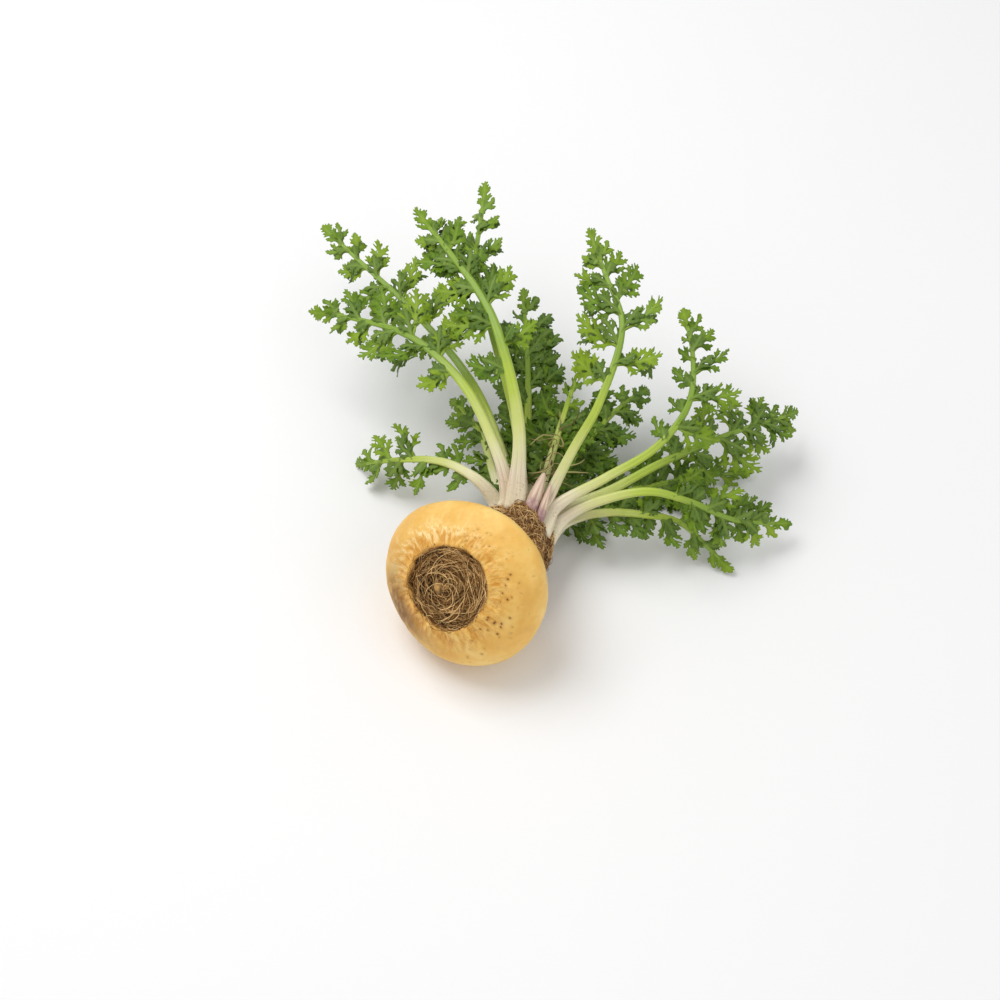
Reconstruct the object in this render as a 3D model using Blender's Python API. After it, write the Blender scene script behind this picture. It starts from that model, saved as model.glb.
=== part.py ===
"""Maca root as picked, lying on its side: the swollen root with the mat of rootlets in its scar, the collar
of soil and old fibre round the crown, and a rosette of finely cut leaves. Metres, +Z up, origin at the
middle of the small flat spot that the root rests on. Lengths below are millimetres, times MM."""
import math
import random
from collections import namedtuple

import bmesh
import bpy
import numpy as np

MM = 0.001
UP = np.array([0.0, 0.0, 1.0])
GAP = 0.3
SHARP_ANGLE = math.radians(40)

# Swollen root: a superellipse turned round an axis that bends as an arc, crown end low, scar end high
ROOT_RADIUS = 26.0
ROOT_LENGTH = 37.0
ROOT_CENTRE = np.array([2.3, 3.2, 24.0])
ROOT_SQUARENESS = 1.82
ROOT_HEADING = math.radians(54.1)
ROOT_PITCH = math.radians(25.7)
ROOT_BEND = math.radians(38.0)
ROOT_SWELL = ((1, 0.017, 3.11), (2, 0.020, 4.15), (3, -0.033, 1.55))
ROOT_SECTORS = 36
FLANK_RADII = (17.0, 20.0, 22.6, 25.0, 26.0, 25.0, 22.6, 20.0, 17.8)
PUCKER_DEPTH = 0.5
PUCKER_REACH = 6.0
PUCKER_WANDER = 1.5
PUCKERS = 9

# Scar dimple at the lower end: a steep wall round a floor that deepens to the middle
DIMPLE_RADIUS = 13.3
DIMPLE_WALL = 3.0
WALL_DEPTH = 3.6
FLOOR_DEPTH = 2.4
DIMPLE_RADII = (14.7, 13.3, 11.8, 10.7, 9.6, 6.8, 3.4)
# How far the scar lies off the root's axis, upward and across, and where its shift fades out
SCAR_UP = 2.25
SCAR_ACROSS = -0.5
SHIFT_END = 23.0
SHIFT_FADE = 8.0

# Mat of rootlets in the dimple, on the dimple's own inner rings
MAT_RADIUS = 11.8
MAT_RIM = 0.7
MAT_THICKNESS = 1.9
MAT_SQUARENESS = 4
MAT_RIDGE = 0.45
MAT_RINGS = 3.5
MAT_RING_SHIFT = 0.8
MAT_GAP = GAP + 0.15
NUB_RADIUS = 3.2
NUB_HEIGHT = 1.5
MAT_TOP_RADII = (11.8, 10.7, 8.6, 6.8, 5.1, 3.4, 1.7)

# Neck under the leaves
NECK_RADIUS = 10.5
NECK_SLOPE = 3.5
NECK_HEIGHT = 6.0
NECK_RADII = (7.6, 9.4, 11.0, 13.0)

# Collar of soil and fibre round the neck: how far out along the crown's axis, and the radius there
COLLAR_PROFILE = (
    (-1.2, 12.3), (1.8, 12.4), (4.8, 12.0), (7.6, 11.2), (10.4, 9.7), (13.0, 7.7), (14.0, 4.1),
)
COLLAR_FLOOR = (7.6, 9.4, 11.0, 12.0)
COLLAR_TOP = 14.4
COLLAR_GAP = 2 * GAP
HOLE_GAP = GAP + 0.1
COLLAR_LEAN = 0.05
COLLAR_LUMP = 0.06
COLLAR_WAVES = (2, 3, 5, 7)
COLLAR_TWIST = 0.4
COLLAR_SECTORS = 20
COLLAR_SEED = 5

# Loose flap of dried skin on the collar
FLAP_ANGLE = math.radians(100)
FLAP_WIDTH = math.radians(20)
FLAP_REACH = 1.6
FLAP_OUT = 6.0
FLAP_LENGTH = 5.0

# Leaves: stalk size at the foot and the end, blade thickness, and the way that the blades face
STALK_WIDE = 3.1
STALK_DEEP = 2.5
STALK_END = 1.0
STALK_TAPER = 0.8
STALK_SIDES = 6
STALK_RINGS = 10
FOOT_LENGTH = 9.0
STALK_START = 2.2
PATH_POINTS = 201
LEAFLETS_END = 0.97
END_LEAFLET = 0.7
BLADE = 0.7
FACING = np.array([0.0, -0.57, 0.82])
FLOOR_CLEARANCE = 0.7
LEAF_SEED = 11

# Leaflets: half-width of the rib, and the lobes on it. Shares are of a leaflet's length.
RIB = 0.5
RIB_FOOT = 1.1
RIB_TAPER = 0.3
LOBE_SPACING = 5.4
MOST_LOBES = 3
FIRST_LOBE = 0.22
LOBE_SPAN = 0.56
LOBE_REACH = 0.34
LOBE_TAPER = 0.45
LOBE_SWEEP = 0.14
LOBE_TIP = 0.055
LOBE_SKEW = 1.3
LOBE_SLOPE = 0.94
LOBE_VARIATION = (0.85, 1.15)

# How a leaflet sets: sideways bend, tilt about the stalk in degrees, twist about its rib in degrees, lift of
# its tip and curl of its sides
LEAFLET_BEND = 0.2
BEND_SHORTENING = 0.3
LEAFLET_TILT = 12
LEAFLET_TWIST = 25
LEAFLET_LIFT = 0.25
LEAFLET_CURL = (-0.3, 0.5)
END_OVERLAP = 1.0

# How leaflets stand along a stalk: crowded to its end, longest below the middle, opening less and less
CROWDING = 1.3
HUMP_BASE = 0.72
HUMP_PLACE = 1.2
END_SHORTENING = 0.4
OPENING_FOOT = 80
OPENING_LOSS = 35
OPENING_VARIATION = 7
LENGTH_VARIATION = (0.9, 1.1)

# A leaf's foot is up and right across the crown, its route the points that the stalk passes. Bare is the
# share of the stalk without leaflets, left and right their reach on each side, and roll is in degrees.
Leaf = namedtuple("Leaf", "foot route bare pairs left right roll")
LEAVES = (
    Leaf((-2.1, -7.9), ((10, 33, 21), (4, 38, 26), (-6, 45, 25), (-20, 53, 15), (-38, 61, 0)),
         0.50, 3, 15, 14, 0),
    Leaf((-6, -5.6), ((12, 36, 17), (9, 48, 17), (6, 61, 15), (0, 74, 12), (-7, 83, 8)),
         0.42, 4, 12, 11, 0),
    Leaf((2, -7.9), ((14, 31, 25), (11, 41, 33), (1, 61, 41), (-15, 80, 41), (-34, 93, 35), (-53, 101, 29)),
         0.45, 5, 17, 17, -8),
    Leaf((-0.6, -4.4),
         ((15, 36, 20), (11, 53, 24), (2, 75, 27), (-16, 101, 29), (-34, 122, 29), (-50, 141, 29)),
         0.52, 5, 14, 15, 0),
    Leaf((5.6, -6), ((16, 29, 27), (17, 45, 42), (13, 63, 53), (7, 80, 58), (-5, 101, 59), (-17, 122, 56)),
         0.38, 5, 18, 16, 0),
    Leaf((3.6, -2.6), ((18, 33, 23), (16, 54, 34), (9, 79, 45), (4, 103, 49), (6, 128, 50), (6, 138, 49)),
         0.55, 4, 13, 12, 35),
    Leaf((-3.6, -1.9), ((20, 36, 19), (20, 56, 23), (20, 81, 26), (19, 104, 27), (18, 116, 26)),
         0.33, 5, 13, 15, 0),
    Leaf((5, 1.4), ((25, 30, 25), (33, 41, 36), (41, 51, 47), (48, 72, 57), (43, 91, 60), (38, 112, 59)),
         0.48, 5, 18, 17, 0),
    Leaf((7, 4.9), ((28, 29, 24), (43, 34, 32), (58, 41, 38), (68, 54, 42), (70, 72, 44), (67, 94, 44)),
         0.50, 5, 9, 16, 10),
    Leaf((2.4, 3.9), ((30, 31, 19), (45, 36, 23), (60, 43, 27), (80, 54, 26), (94, 64, 20), (110, 74, 13)),
         0.50, 5, 16, 17, 0),
    Leaf((4, 7.6), ((31, 28, 20), (43, 29, 28), (56, 29, 32), (68, 29, 27), (83, 29, 17), (104, 35, 6)),
         0.52, 4, 14, 13, 0),
    Leaf((-0.3, 8.2), ((31, 30, 14), (43, 31, 18), (55, 31, 17), (66, 31, 13), (76, 26, 5), (84, 18, 0)),
         0.50, 3, 12, 11, 0),
    Leaf((-1.7, 1.9), ((25, 38, 17), (34, 52, 18), (42, 63, 18), (51, 74, 17), (62, 84, 14)),
         0.38, 4, 13, 15, 0),
    Leaf((1.3, -0.1), ((23, 36, 20), (27, 46, 27), (31, 59, 31), (36, 76, 32)),
         0.50, 3, 8, 8, 0),
    Leaf((-4.6, 4.6), ((30, 36, 11), (45, 44, 8), (61, 50, 6), (78, 55, 4), (94, 58, 1)),
         0.37, 4, 14, 14, 0),
)

# Young purple sheaths: foot up and right across the crown, tip, and thickness
Shoot = namedtuple("Shoot", "foot tip size")
SHOOTS = (
    Shoot((8.2, -1.7), (24.7, 36.0, 32.0), 3.6),
    Shoot((8.4, 2.4), (26.6, 32.6, 30.6), 2.4),
)
SHOOT_WIDTHS = (1.0, 1.15, 1.1, 0.85, 0.4)
SHOOT_DEPTH = 0.85


def unit(vector):
    """The vector at length one."""
    return vector / np.linalg.norm(vector)


def smooth_step(x):
    """0 below 0, 1 above 1 and a smooth S between them."""
    x = min(1.0, max(0.0, x))
    return x * x * (3 - 2 * x)


def root_axis(height):
    """Place, direction and upward normal of the root's bent axis, at a height from the crown to the scar."""
    heading = np.array([math.cos(ROOT_HEADING), math.sin(ROOT_HEADING), 0.0])
    bend = ROOT_BEND / ROOT_LENGTH
    pitch = ROOT_PITCH + bend * height
    sideways = (math.sin(pitch) - math.sin(ROOT_PITCH)) / bend
    upwards = (math.cos(ROOT_PITCH) - math.cos(pitch)) / bend
    place = ROOT_CENTRE - heading * sideways + UP * upwards
    along = UP * math.sin(pitch) - heading * math.cos(pitch)
    normal = heading * math.sin(pitch) + UP * math.cos(pitch)
    return place, along, normal


def root_across():
    """The horizontal direction across the root's axis."""
    return np.array([-math.sin(ROOT_HEADING), math.cos(ROOT_HEADING), 0.0])


def cap_height(radius, end):
    """Height of the root's skin at a radius from its axis, on the scar's end (1) or the crown's (-1)."""
    share = min(1.0, radius / ROOT_RADIUS)
    height = ROOT_LENGTH / 2 * (1 - share**ROOT_SQUARENESS) ** (1 / ROOT_SQUARENESS)
    if end > 0:
        wall = WALL_DEPTH * smooth_step((DIMPLE_RADIUS - radius) / DIMPLE_WALL)
        return height - wall - FLOOR_DEPTH * smooth_step(1 - radius / DIMPLE_RADIUS)
    return -height - NECK_HEIGHT * smooth_step((NECK_RADIUS - radius) / NECK_SLOPE)


def swell(angle, flank):
    """How far the flank stands out or in at an angle round the axis, as a share of its radius."""
    return 1 + sum(size * math.cos(count * angle - start) for count, size, start in ROOT_SWELL) * flank


def pucker(radius, angle):
    """Depth of the furrows that run into the scar's dimple."""
    near = smooth_step(1 - abs(radius - DIMPLE_RADIUS) / PUCKER_REACH)
    return PUCKER_DEPTH * near * math.cos(PUCKERS * angle + PUCKER_WANDER * math.sin(2 * angle))


def root_point(radius, angle, height):
    """The point at a radius, an angle and a height of the bent axis."""
    place, _, normal = root_axis(height)
    return place + radius * (math.cos(angle) * normal + math.sin(angle) * root_across())


def scar_shift(radius):
    """How far the skin at a radius is moved, so that the scar lies off the root's axis."""
    _, _, normal = root_axis(ROOT_LENGTH / 2)
    return (SCAR_UP * normal + SCAR_ACROSS * root_across()) * smooth_step((SHIFT_END - radius) / SHIFT_FADE)


def skin_point(radius, angle, end, lift=0.0):
    """A point over the root's skin at a radius, on the scar's end (1) or the crown's (-1)."""
    height = cap_height(radius, end) + lift
    flank = (radius / ROOT_RADIUS) ** (ROOT_SQUARENESS / 4)
    reach = radius * swell(angle, flank)
    if end < 0:
        return root_point(reach, angle, height)
    return root_point(reach, angle, height - pucker(radius, angle)) + scar_shift(radius)


# The crown: its middle, its own directions, and how far these are turned from the root's
CROWN, INWARDS, CROWN_NORMAL = root_axis(-ROOT_LENGTH / 2)
CROWN_OUT = -INWARDS
CROWN_UP = unit(FACING - FACING @ CROWN_OUT * CROWN_OUT)
CROWN_RIGHT = np.cross(CROWN_OUT, CROWN_UP)
CROWN_TURN = math.atan2(CROWN_UP @ root_across(), CROWN_UP @ CROWN_NORMAL)


def crown_point(up, right, out):
    """A point over the crown: up and right across its axis, and out along it."""
    return CROWN + up * CROWN_UP + right * CROWN_RIGHT + out * CROWN_OUT


def make_material(name, colour, roughness):
    """A plain Principled material."""
    material = bpy.data.materials.new(name)
    material.use_nodes = True
    shader = material.node_tree.nodes["Principled BSDF"]
    shader.inputs["Base Color"].default_value = (*colour, 1.0)
    shader.inputs["Roughness"].default_value = roughness
    shader.inputs["Metallic"].default_value = 0.0
    return material


def skin_material():
    """The golden skin of the root."""
    return make_material("root_skin", (0.67, 0.40, 0.12), 0.45)


def rootlet_material():
    """The dark mat of rootlets."""
    return make_material("rootlet_mat", (0.14, 0.08, 0.04), 0.9)


def soil_material():
    """Soil and old fibre."""
    return make_material("collar_soil", (0.16, 0.09, 0.045), 0.95)


def leaf_material():
    """Leaves and their stalks."""
    return make_material("leaf_green", (0.10, 0.22, 0.035), 0.6)


def sheath_material():
    """The purple sheaths of the youngest leaves."""
    return make_material("young_sheath", (0.42, 0.22, 0.24), 0.5)


def add_object(name, points, faces, material):
    """A mesh object from points in millimetres."""
    mesh = bpy.data.meshes.new(name)
    mesh.from_pydata([tuple(float(c) * MM for c in point) for point in points], [], faces)
    change_mesh(mesh, lambda shape: bmesh.ops.recalc_face_normals(shape, faces=shape.faces))
    mesh.materials.append(material)
    thing = bpy.data.objects.new(name, mesh)
    bpy.context.scene.collection.objects.link(thing)
    return thing


def ring_faces(rings, sectors):
    """Quads between rings of points, with the first and last ring closed by a single point each."""
    last = 1 + rings * sectors
    faces = []
    for j in range(sectors):
        k = (j + 1) % sectors
        faces.append((0, 1 + k, 1 + j))
        faces.append((last, last - sectors + j, last - sectors + k))
    for i in range(rings - 1):
        for j in range(sectors):
            k = (j + 1) % sectors
            a, b = 1 + i * sectors, 1 + (i + 1) * sectors
            faces.append((a + j, a + k, b + k, b + j))
    return faces


def closed_rings(name, first, rings, last, material):
    """A closed body through rings of points, from one end point to the other."""
    sectors = len(rings[0])
    points = [first] + [point for ring in rings for point in ring] + [last]
    return add_object(name, points, ring_faces(len(rings), sectors), material)


def change_mesh(mesh, change):
    """Applies a change to a mesh through bmesh."""
    shape = bmesh.new()
    shape.from_mesh(mesh)
    change(shape)
    shape.to_mesh(mesh)
    shape.free()


def split_faces(shape):
    """Splits a mesh into triangles."""
    bmesh.ops.triangulate(shape, faces=shape.faces)


def finish_mesh(thing):
    """Splits a mesh into triangles and shades round forms smooth."""
    change_mesh(thing.data, split_faces)
    thing.data.shade_smooth()
    thing.data.set_sharp_from_angle(angle=SHARP_ANGLE)


def is_closed(mesh):
    """Whether every edge of a mesh has exactly two faces."""
    shape = bmesh.new()
    shape.from_mesh(mesh)
    closed = all(len(edge.link_faces) == 2 for edge in shape.edges)
    shape.free()
    return closed


def join_or_cut(thing, others, operation):
    """One Boolean with a collection of other objects, applied; the others are then removed."""
    group = bpy.data.collections.new(thing.name + "_others")
    bpy.context.scene.collection.children.link(group)
    for other in others:
        bpy.context.scene.collection.objects.unlink(other)
        group.objects.link(other)
    boolean = thing.modifiers.new("boolean", "BOOLEAN")
    boolean.operation = operation
    boolean.operand_type = "COLLECTION"
    boolean.collection = group
    for solver in ("EXACT", "MANIFOLD"):
        boolean.solver = solver
        graph = bpy.context.evaluated_depsgraph_get()
        mesh = bpy.data.meshes.new_from_object(thing.evaluated_get(graph))
        change_mesh(mesh, split_faces)
        if is_closed(mesh):
            break
    thing.modifiers.clear()
    thing.data = mesh
    for other in others:
        bpy.data.objects.remove(other)
    bpy.data.collections.remove(group)


def islands_of(shape):
    """The separate bodies of a mesh, as sets of faces."""
    left = set(shape.faces)
    islands = []
    while left:
        island = set()
        front = [left.pop()]
        while front:
            face = front.pop()
            island.add(face)
            near = {other for edge in face.edges for other in edge.link_faces if other in left}
            left -= near
            front += near
        islands.append(island)
    return islands


def keep_largest(thing):
    """Drops the loose scraps of a mesh."""
    def change(shape):
        islands = islands_of(shape)
        largest = max(islands, key=len)
        scraps = [face for island in islands if island is not largest for face in island]
        bmesh.ops.delete(shape, geom=scraps, context="FACES")

    change_mesh(thing.data, change)


def root_rings():
    """Rings of skin points from the neck, over the equator, into the scar's dimple."""
    angles = [2 * math.pi * j / ROOT_SECTORS for j in range(ROOT_SECTORS)]
    equator = FLANK_RADII.index(ROOT_RADIUS)
    radii = NECK_RADII + FLANK_RADII + DIMPLE_RADII
    turning = len(NECK_RADII) + equator
    rings = []
    for i, radius in enumerate(radii):
        end = 1 if i > turning else -1
        rings.append([skin_point(radius, angle, end) for angle in angles])
    return rings


def make_root(material):
    """The swollen root, cut flat where it rests."""
    crown_end = root_point(0, 0, cap_height(0, -1))
    scar_end = skin_point(0, 0, 1)
    root = closed_rings("root_body", crown_end, root_rings(), scar_end, material)

    def cut_flat(shape):
        everything = shape.verts[:] + shape.edges[:] + shape.faces[:]
        floor = {"plane_co": (0, 0, 0), "plane_no": UP}
        cut = bmesh.ops.bisect_plane(shape, geom=everything, clear_inner=True, **floor)
        rim = [item for item in cut["geom_cut"] if isinstance(item, bmesh.types.BMEdge)]
        bmesh.ops.contextual_create(shape, geom=rim)
        bmesh.ops.recalc_face_normals(shape, faces=shape.faces)

    change_mesh(root.data, cut_flat)
    finish_mesh(root)


def mat_thickness(radius, angle):
    """Thickness of the rootlet mat: ridged in rings, with a nub in its middle."""
    share = radius / MAT_RADIUS
    edge = math.sqrt(max(0.0, 1 - share**MAT_SQUARENESS))
    ridges = MAT_RIDGE * math.cos(2 * math.pi * MAT_RINGS * share + MAT_RING_SHIFT * math.sin(angle))
    nub = NUB_HEIGHT * math.exp(-((radius / NUB_RADIUS) ** 2))
    return MAT_RIM + (MAT_THICKNESS + ridges) * edge + nub


def make_scar_mat(material):
    """The mat of fine rootlets: its underside follows the dimple, its top is ridged."""
    angles = [2 * math.pi * j / ROOT_SECTORS for j in range(ROOT_SECTORS)]
    radii = [radius for radius in reversed(DIMPLE_RADII) if radius <= MAT_RADIUS]

    def underside(radius, angle):
        return skin_point(radius, angle, 1, MAT_GAP)

    def upside(radius, angle):
        return skin_point(radius, angle, 1, MAT_GAP + mat_thickness(radius, angle))

    rings = [[underside(radius, angle) for angle in angles] for radius in radii]
    rings += [[upside(radius, angle) for angle in angles] for radius in MAT_TOP_RADII]
    mat = closed_rings("root_scar", underside(0, 0), rings, upside(0, 0), material)
    finish_mesh(mat)


def collar_floor(radius, angle):
    """A point of the collar's underside: over the root's skin, clear of it by the gap."""
    return skin_point(radius, CROWN_TURN - angle, -1) + COLLAR_GAP * CROWN_OUT


def flap_reach(angle, out):
    """How far the flap of dried skin stands out of the collar."""
    turn = (angle - FLAP_ANGLE) / FLAP_WIDTH
    return FLAP_REACH * math.exp(-turn * turn) * smooth_step(1 - abs(out - FLAP_OUT) / FLAP_LENGTH)


def collar_rings():
    """Rings of the soil collar, from the middle of its underside out, and up over its lumpy flank."""
    chance = random.Random(COLLAR_SEED)
    waves = [(count, chance.uniform(0.4, 1.0), chance.uniform(0, 2 * math.pi)) for count in COLLAR_WAVES]
    angles = [2 * math.pi * j / COLLAR_SECTORS for j in range(COLLAR_SECTORS)]
    rings = [[collar_floor(radius, angle) for angle in angles] for radius in COLLAR_FLOOR]
    for out, radius in COLLAR_PROFILE:
        ring = []
        for angle in angles:
            twist = COLLAR_TWIST * out
            lump = sum(size * math.sin(count * angle + start + twist) for count, size, start in waves)
            reach = radius * (1 + COLLAR_LUMP * lump * chance.uniform(0.7, 1.3)) + flap_reach(angle, out)
            right = reach * math.sin(angle) + COLLAR_LEAN * out
            ring.append(crown_point(reach * math.cos(angle), right, out))
        rings.append(ring)
    return rings


def make_collar(feet, material):
    """The collar of soil, with a plain hole for each stem."""
    last = crown_point(0, COLLAR_LEAN * COLLAR_PROFILE[-1][0], COLLAR_TOP)
    collar = closed_rings("crown_collar", collar_floor(0, 0), collar_rings(), last, material)
    join_or_cut(collar, [hole_cutter(rings) for rings in feet], "DIFFERENCE")
    keep_largest(collar)
    finish_mesh(collar)


def path_points(points, count):
    """Evenly spaced points and directions of a smooth curve through the given points."""
    points = np.array(points, float)
    steps = np.linalg.norm(np.diff(points, axis=0), axis=1)
    marks = np.concatenate([[0], np.cumsum(steps)])
    slopes = np.empty_like(points)
    slopes[1:-1] = (points[2:] - points[:-2]) / (marks[2:] - marks[:-2])[:, None]
    slopes[0] = (points[1] - points[0]) / steps[0]
    slopes[-1] = (points[-1] - points[-2]) / steps[-1]
    places = []
    for mark in np.linspace(0, marks[-1], count):
        i = min(int(np.searchsorted(marks, mark, side="right")) - 1, len(steps) - 1)
        t = (mark - marks[i]) / steps[i]
        keep, move = 2 * t**3 - 3 * t**2 + 1, 3 * t**2 - 2 * t**3
        start, end = t**3 - 2 * t**2 + t, t**3 - t**2
        place = keep * points[i] + move * points[i + 1]
        places.append(place + steps[i] * (start * slopes[i] + end * slopes[i + 1]))
    places = np.array(places)
    directions = np.gradient(places, axis=0)
    return places, directions / np.linalg.norm(directions, axis=1)[:, None]


def tube_rings(places, directions, widths, depths):
    """Oval rings round a path, wide across the way that it faces."""
    rings = []
    for place, direction, width, depth in zip(places, directions, widths, depths):
        across = unit(np.cross(direction, FACING))
        front = np.cross(across, direction)
        ring = []
        for j in range(STALK_SIDES):
            angle = 2 * math.pi * j / STALK_SIDES
            ring.append(place + width / 2 * math.cos(angle) * across + depth / 2 * math.sin(angle) * front)
        rings.append(ring)
    return rings


def stalk_line(foot, route):
    """The points that a stalk passes, from just over the neck."""
    return [crown_point(*foot, NECK_HEIGHT + STALK_START)] + [np.array(point, float) for point in route]


def stalk_rings(line, end_share, swollen=0.0):
    """Rings of a tapered stalk along a line, up to a share of its length."""
    places, directions = path_points(line, PATH_POINTS)
    picks = np.linspace(0, end_share * (PATH_POINTS - 1), STALK_RINGS).round().astype(int)
    taper = np.linspace(0, 1, STALK_RINGS) ** STALK_TAPER
    widths = STALK_WIDE + (STALK_END - STALK_WIDE) * taper + 2 * swollen
    depths = STALK_DEEP + (STALK_END - STALK_DEEP) * taper + 2 * swollen
    return tube_rings(places[picks], directions[picks], widths, depths)


def closed_tube(name, rings, material):
    """A closed body through rings, with each end drawn to the middle of its ring."""
    return closed_rings(name, np.mean(rings[0], axis=0), rings, np.mean(rings[-1], axis=0), material)


def hole_cutter(rings):
    """The plain hole that a stem stands in: the stem's foot, wider all round and a little deeper."""
    down = unit(np.mean(rings[0], axis=0) - np.mean(rings[1], axis=0))
    below = [point + HOLE_GAP * down for point in rings[0]]
    cutter = closed_tube("hole_cutter", [below] + rings, None)
    cutter.hide_render = True
    cutter.display_type = "WIRE"
    return cutter


def blade_place(frame, length, bend, lift, curl, u, v):
    """A point of a leaflet: u along its rib and v to its right, bent, lifted and curled."""
    root, along, side, front = frame
    share = u / length
    rise = (lift * share**2 + curl * (v / length) ** 2) * length
    far = u * (1 - BEND_SHORTENING * (bend * share) ** 2)
    place = root + far * along + (v + bend * share**2 * length) * side + rise * front
    place[2] = max(place[2], FLOOR_CLEARANCE)
    return place


def lobe_points(length, middle, number, lobes, sign, chance):
    """Corners of one lobe's tip: the first lobe is blunt with two of them, the others have one."""
    size = 1 - LOBE_TAPER * number / lobes
    reach = sign * length * LOBE_REACH * size * chance.uniform(*LOBE_VARIATION)
    tip = middle + length * LOBE_SWEEP
    if number == 0:
        return [(tip - length * LOBE_TIP, reach * LOBE_SLOPE), (tip + length * LOBE_TIP * LOBE_SKEW, reach)]
    return [(tip + length * LOBE_TIP, reach)]


def leaflet_outline(length, chance):
    """Flat corners and faces of a cut leaflet: a rib with lobes on both sides and a pointed end."""
    lobes = max(1, min(MOST_LOBES, round(length / LOBE_SPACING)))
    outline = [(0, -RIB), (0, RIB)]
    faces = []
    before = (0, 1)
    for i in range(lobes + 1):
        notch = length * (FIRST_LOBE + LOBE_SPAN * i / lobes)
        half = RIB * (RIB_FOOT - RIB_TAPER * i / lobes)
        here = (len(outline), len(outline) + 1)
        outline += [(notch, -half), (notch, half)]
        faces += [(before[0], here[1], here[0]), (before[0], before[1], here[1])]
        if i:
            middle = (outline[before[0]][0] + notch) / 2
            for sign, a, b in ((-1, before[0], here[0]), (1, before[1], here[1])):
                near = len(outline)
                outline += lobe_points(length, middle, i - 1, lobes, sign, chance)
                tips = list(range(near, len(outline)))
                lobe = [(a, first, second) for first, second in zip(tips, tips[1:] + [b])]
                faces += lobe if sign > 0 else [face[::-1] for face in lobe]
        before = here
    outline.append((length, 0))
    faces.append((before[0], before[1], len(outline) - 1))
    return outline, faces


def make_leaflet(name, length, frame, bend, lift, curl, chance):
    """One cut leaflet as a thin bent plate."""
    outline, faces = leaflet_outline(length, chance)
    points = [blade_place(frame, length, bend, lift, curl, u, v) for u, v in outline]
    return thick_plate(name, points, faces, frame[3])


def thick_plate(name, points, faces, front):
    """A closed plate: the faces, their copy behind and a rim between them, split alike on both sides."""
    count = len(points)
    both = [point + front * BLADE / 2 for point in points] + [point - front * BLADE / 2 for point in points]
    back = [tuple(count + i for i in reversed(face)) for face in faces]
    edges = {edge for face in faces for edge in zip(face, face[1:] + face[:1])}
    rim = [(b, a, count + a, count + b) for a, b in edges if (b, a) not in edges]
    return add_object(name, both, faces + back + sorted(rim), None)


def turned(first, second, angle):
    """Two directions turned by an angle in their own plane."""
    cosine, sine = math.cos(angle), math.sin(angle)
    return first * cosine + second * sine, second * cosine - first * sine


def leaf_plan(leaf, chance):
    """Where each leaflet grows: the share of the stalk, its side, length and opening angle."""
    plan = []
    count = 2 * leaf.pairs
    for i in range(count):
        step = (i + 0.5) / count
        side = 1 if i % 2 else -1
        share = leaf.bare + (LEAFLETS_END - leaf.bare) * (1 - (1 - step) ** CROWDING)
        hump = HUMP_BASE + (1 - HUMP_BASE) * math.sin(math.pi * min(1, HUMP_PLACE * step))
        hump *= 1 - END_SHORTENING * step**2
        length = (leaf.right if side > 0 else leaf.left) * hump * chance.uniform(*LENGTH_VARIATION)
        turn = OPENING_FOOT - OPENING_LOSS * step + chance.uniform(-OPENING_VARIATION, OPENING_VARIATION)
        plan.append((share, side, length, math.radians(turn)))
    plan.append((LEAFLETS_END, 0, END_LEAFLET * max(leaf.left, leaf.right), 0.0))
    return plan


def end_share(leaf, line):
    """The share of the leaf's line that its stalk takes: the leaflet at its end takes the rest."""
    total = np.linalg.norm(np.diff(path_points(line, PATH_POINTS)[0], axis=0), axis=1).sum()
    return 1 - END_LEAFLET * max(leaf.left, leaf.right) / total


def leaf_stalk(leaf, swollen=0.0):
    """Rings of a leaf's stalk."""
    line = stalk_line(leaf.foot, leaf.route)
    return stalk_rings(line, end_share(leaf, line), swollen)


def foot_rings(rings):
    """The rings of a stalk's foot, as far as it stands in the soil."""
    step = np.linalg.norm(np.mean(rings[1], axis=0) - np.mean(rings[0], axis=0))
    return rings[:math.ceil(FOOT_LENGTH / step) + 1]


def leaflet_frame(place, way, side, opening, roll, chance):
    """Where a leaflet starts, and its directions along its rib, to its right and out of its face."""
    across = unit(np.cross(way, FACING))
    tilt = math.radians(roll + chance.uniform(-LEAFLET_TILT, LEAFLET_TILT))
    across, front = turned(across, np.cross(across, way), tilt)
    along, sideways = turned(way, across, side * opening)
    twist = math.radians(chance.uniform(-LEAFLET_TWIST, LEAFLET_TWIST))
    sideways, front = turned(sideways, front, twist)
    start = place if side else place - END_OVERLAP * way
    return start, along, sideways, front


def make_leaf(number, leaf, material):
    """One leaf: a tapered stalk with cut leaflets on both sides and one at its end."""
    chance = random.Random(LEAF_SEED + number)
    line = stalk_line(leaf.foot, leaf.route)
    places, directions = path_points(line, PATH_POINTS)
    stalk = closed_tube(f"leaf_{number:02d}", leaf_stalk(leaf), material)
    blades = []
    for i, (share, side, length, opening) in enumerate(leaf_plan(leaf, chance)):
        at = round(share * end_share(leaf, line) * (PATH_POINTS - 1))
        frame = leaflet_frame(places[at], directions[at], side, opening, leaf.roll, chance)
        lift = chance.uniform(-LEAFLET_LIFT, LEAFLET_LIFT)
        curl = chance.uniform(*LEAFLET_CURL)
        blades.append(make_leaflet(f"blade_{i}", length, frame, -LEAFLET_BEND * side, lift, curl, chance))
    join_or_cut(stalk, blades, "UNION")
    keep_largest(stalk)
    finish_mesh(stalk)


def shoot_rings(shoot, swollen=0.0):
    """Rings of a young sheath, widest below its middle."""
    start = crown_point(*shoot.foot, NECK_HEIGHT + STALK_START)
    places = np.linspace(start, np.array(shoot.tip), len(SHOOT_WIDTHS))
    directions = [unit(places[-1] - places[0])] * len(places)
    widths = np.array(SHOOT_WIDTHS) * shoot.size + 2 * swollen
    return tube_rings(places, directions, widths, widths * SHOOT_DEPTH)


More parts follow.
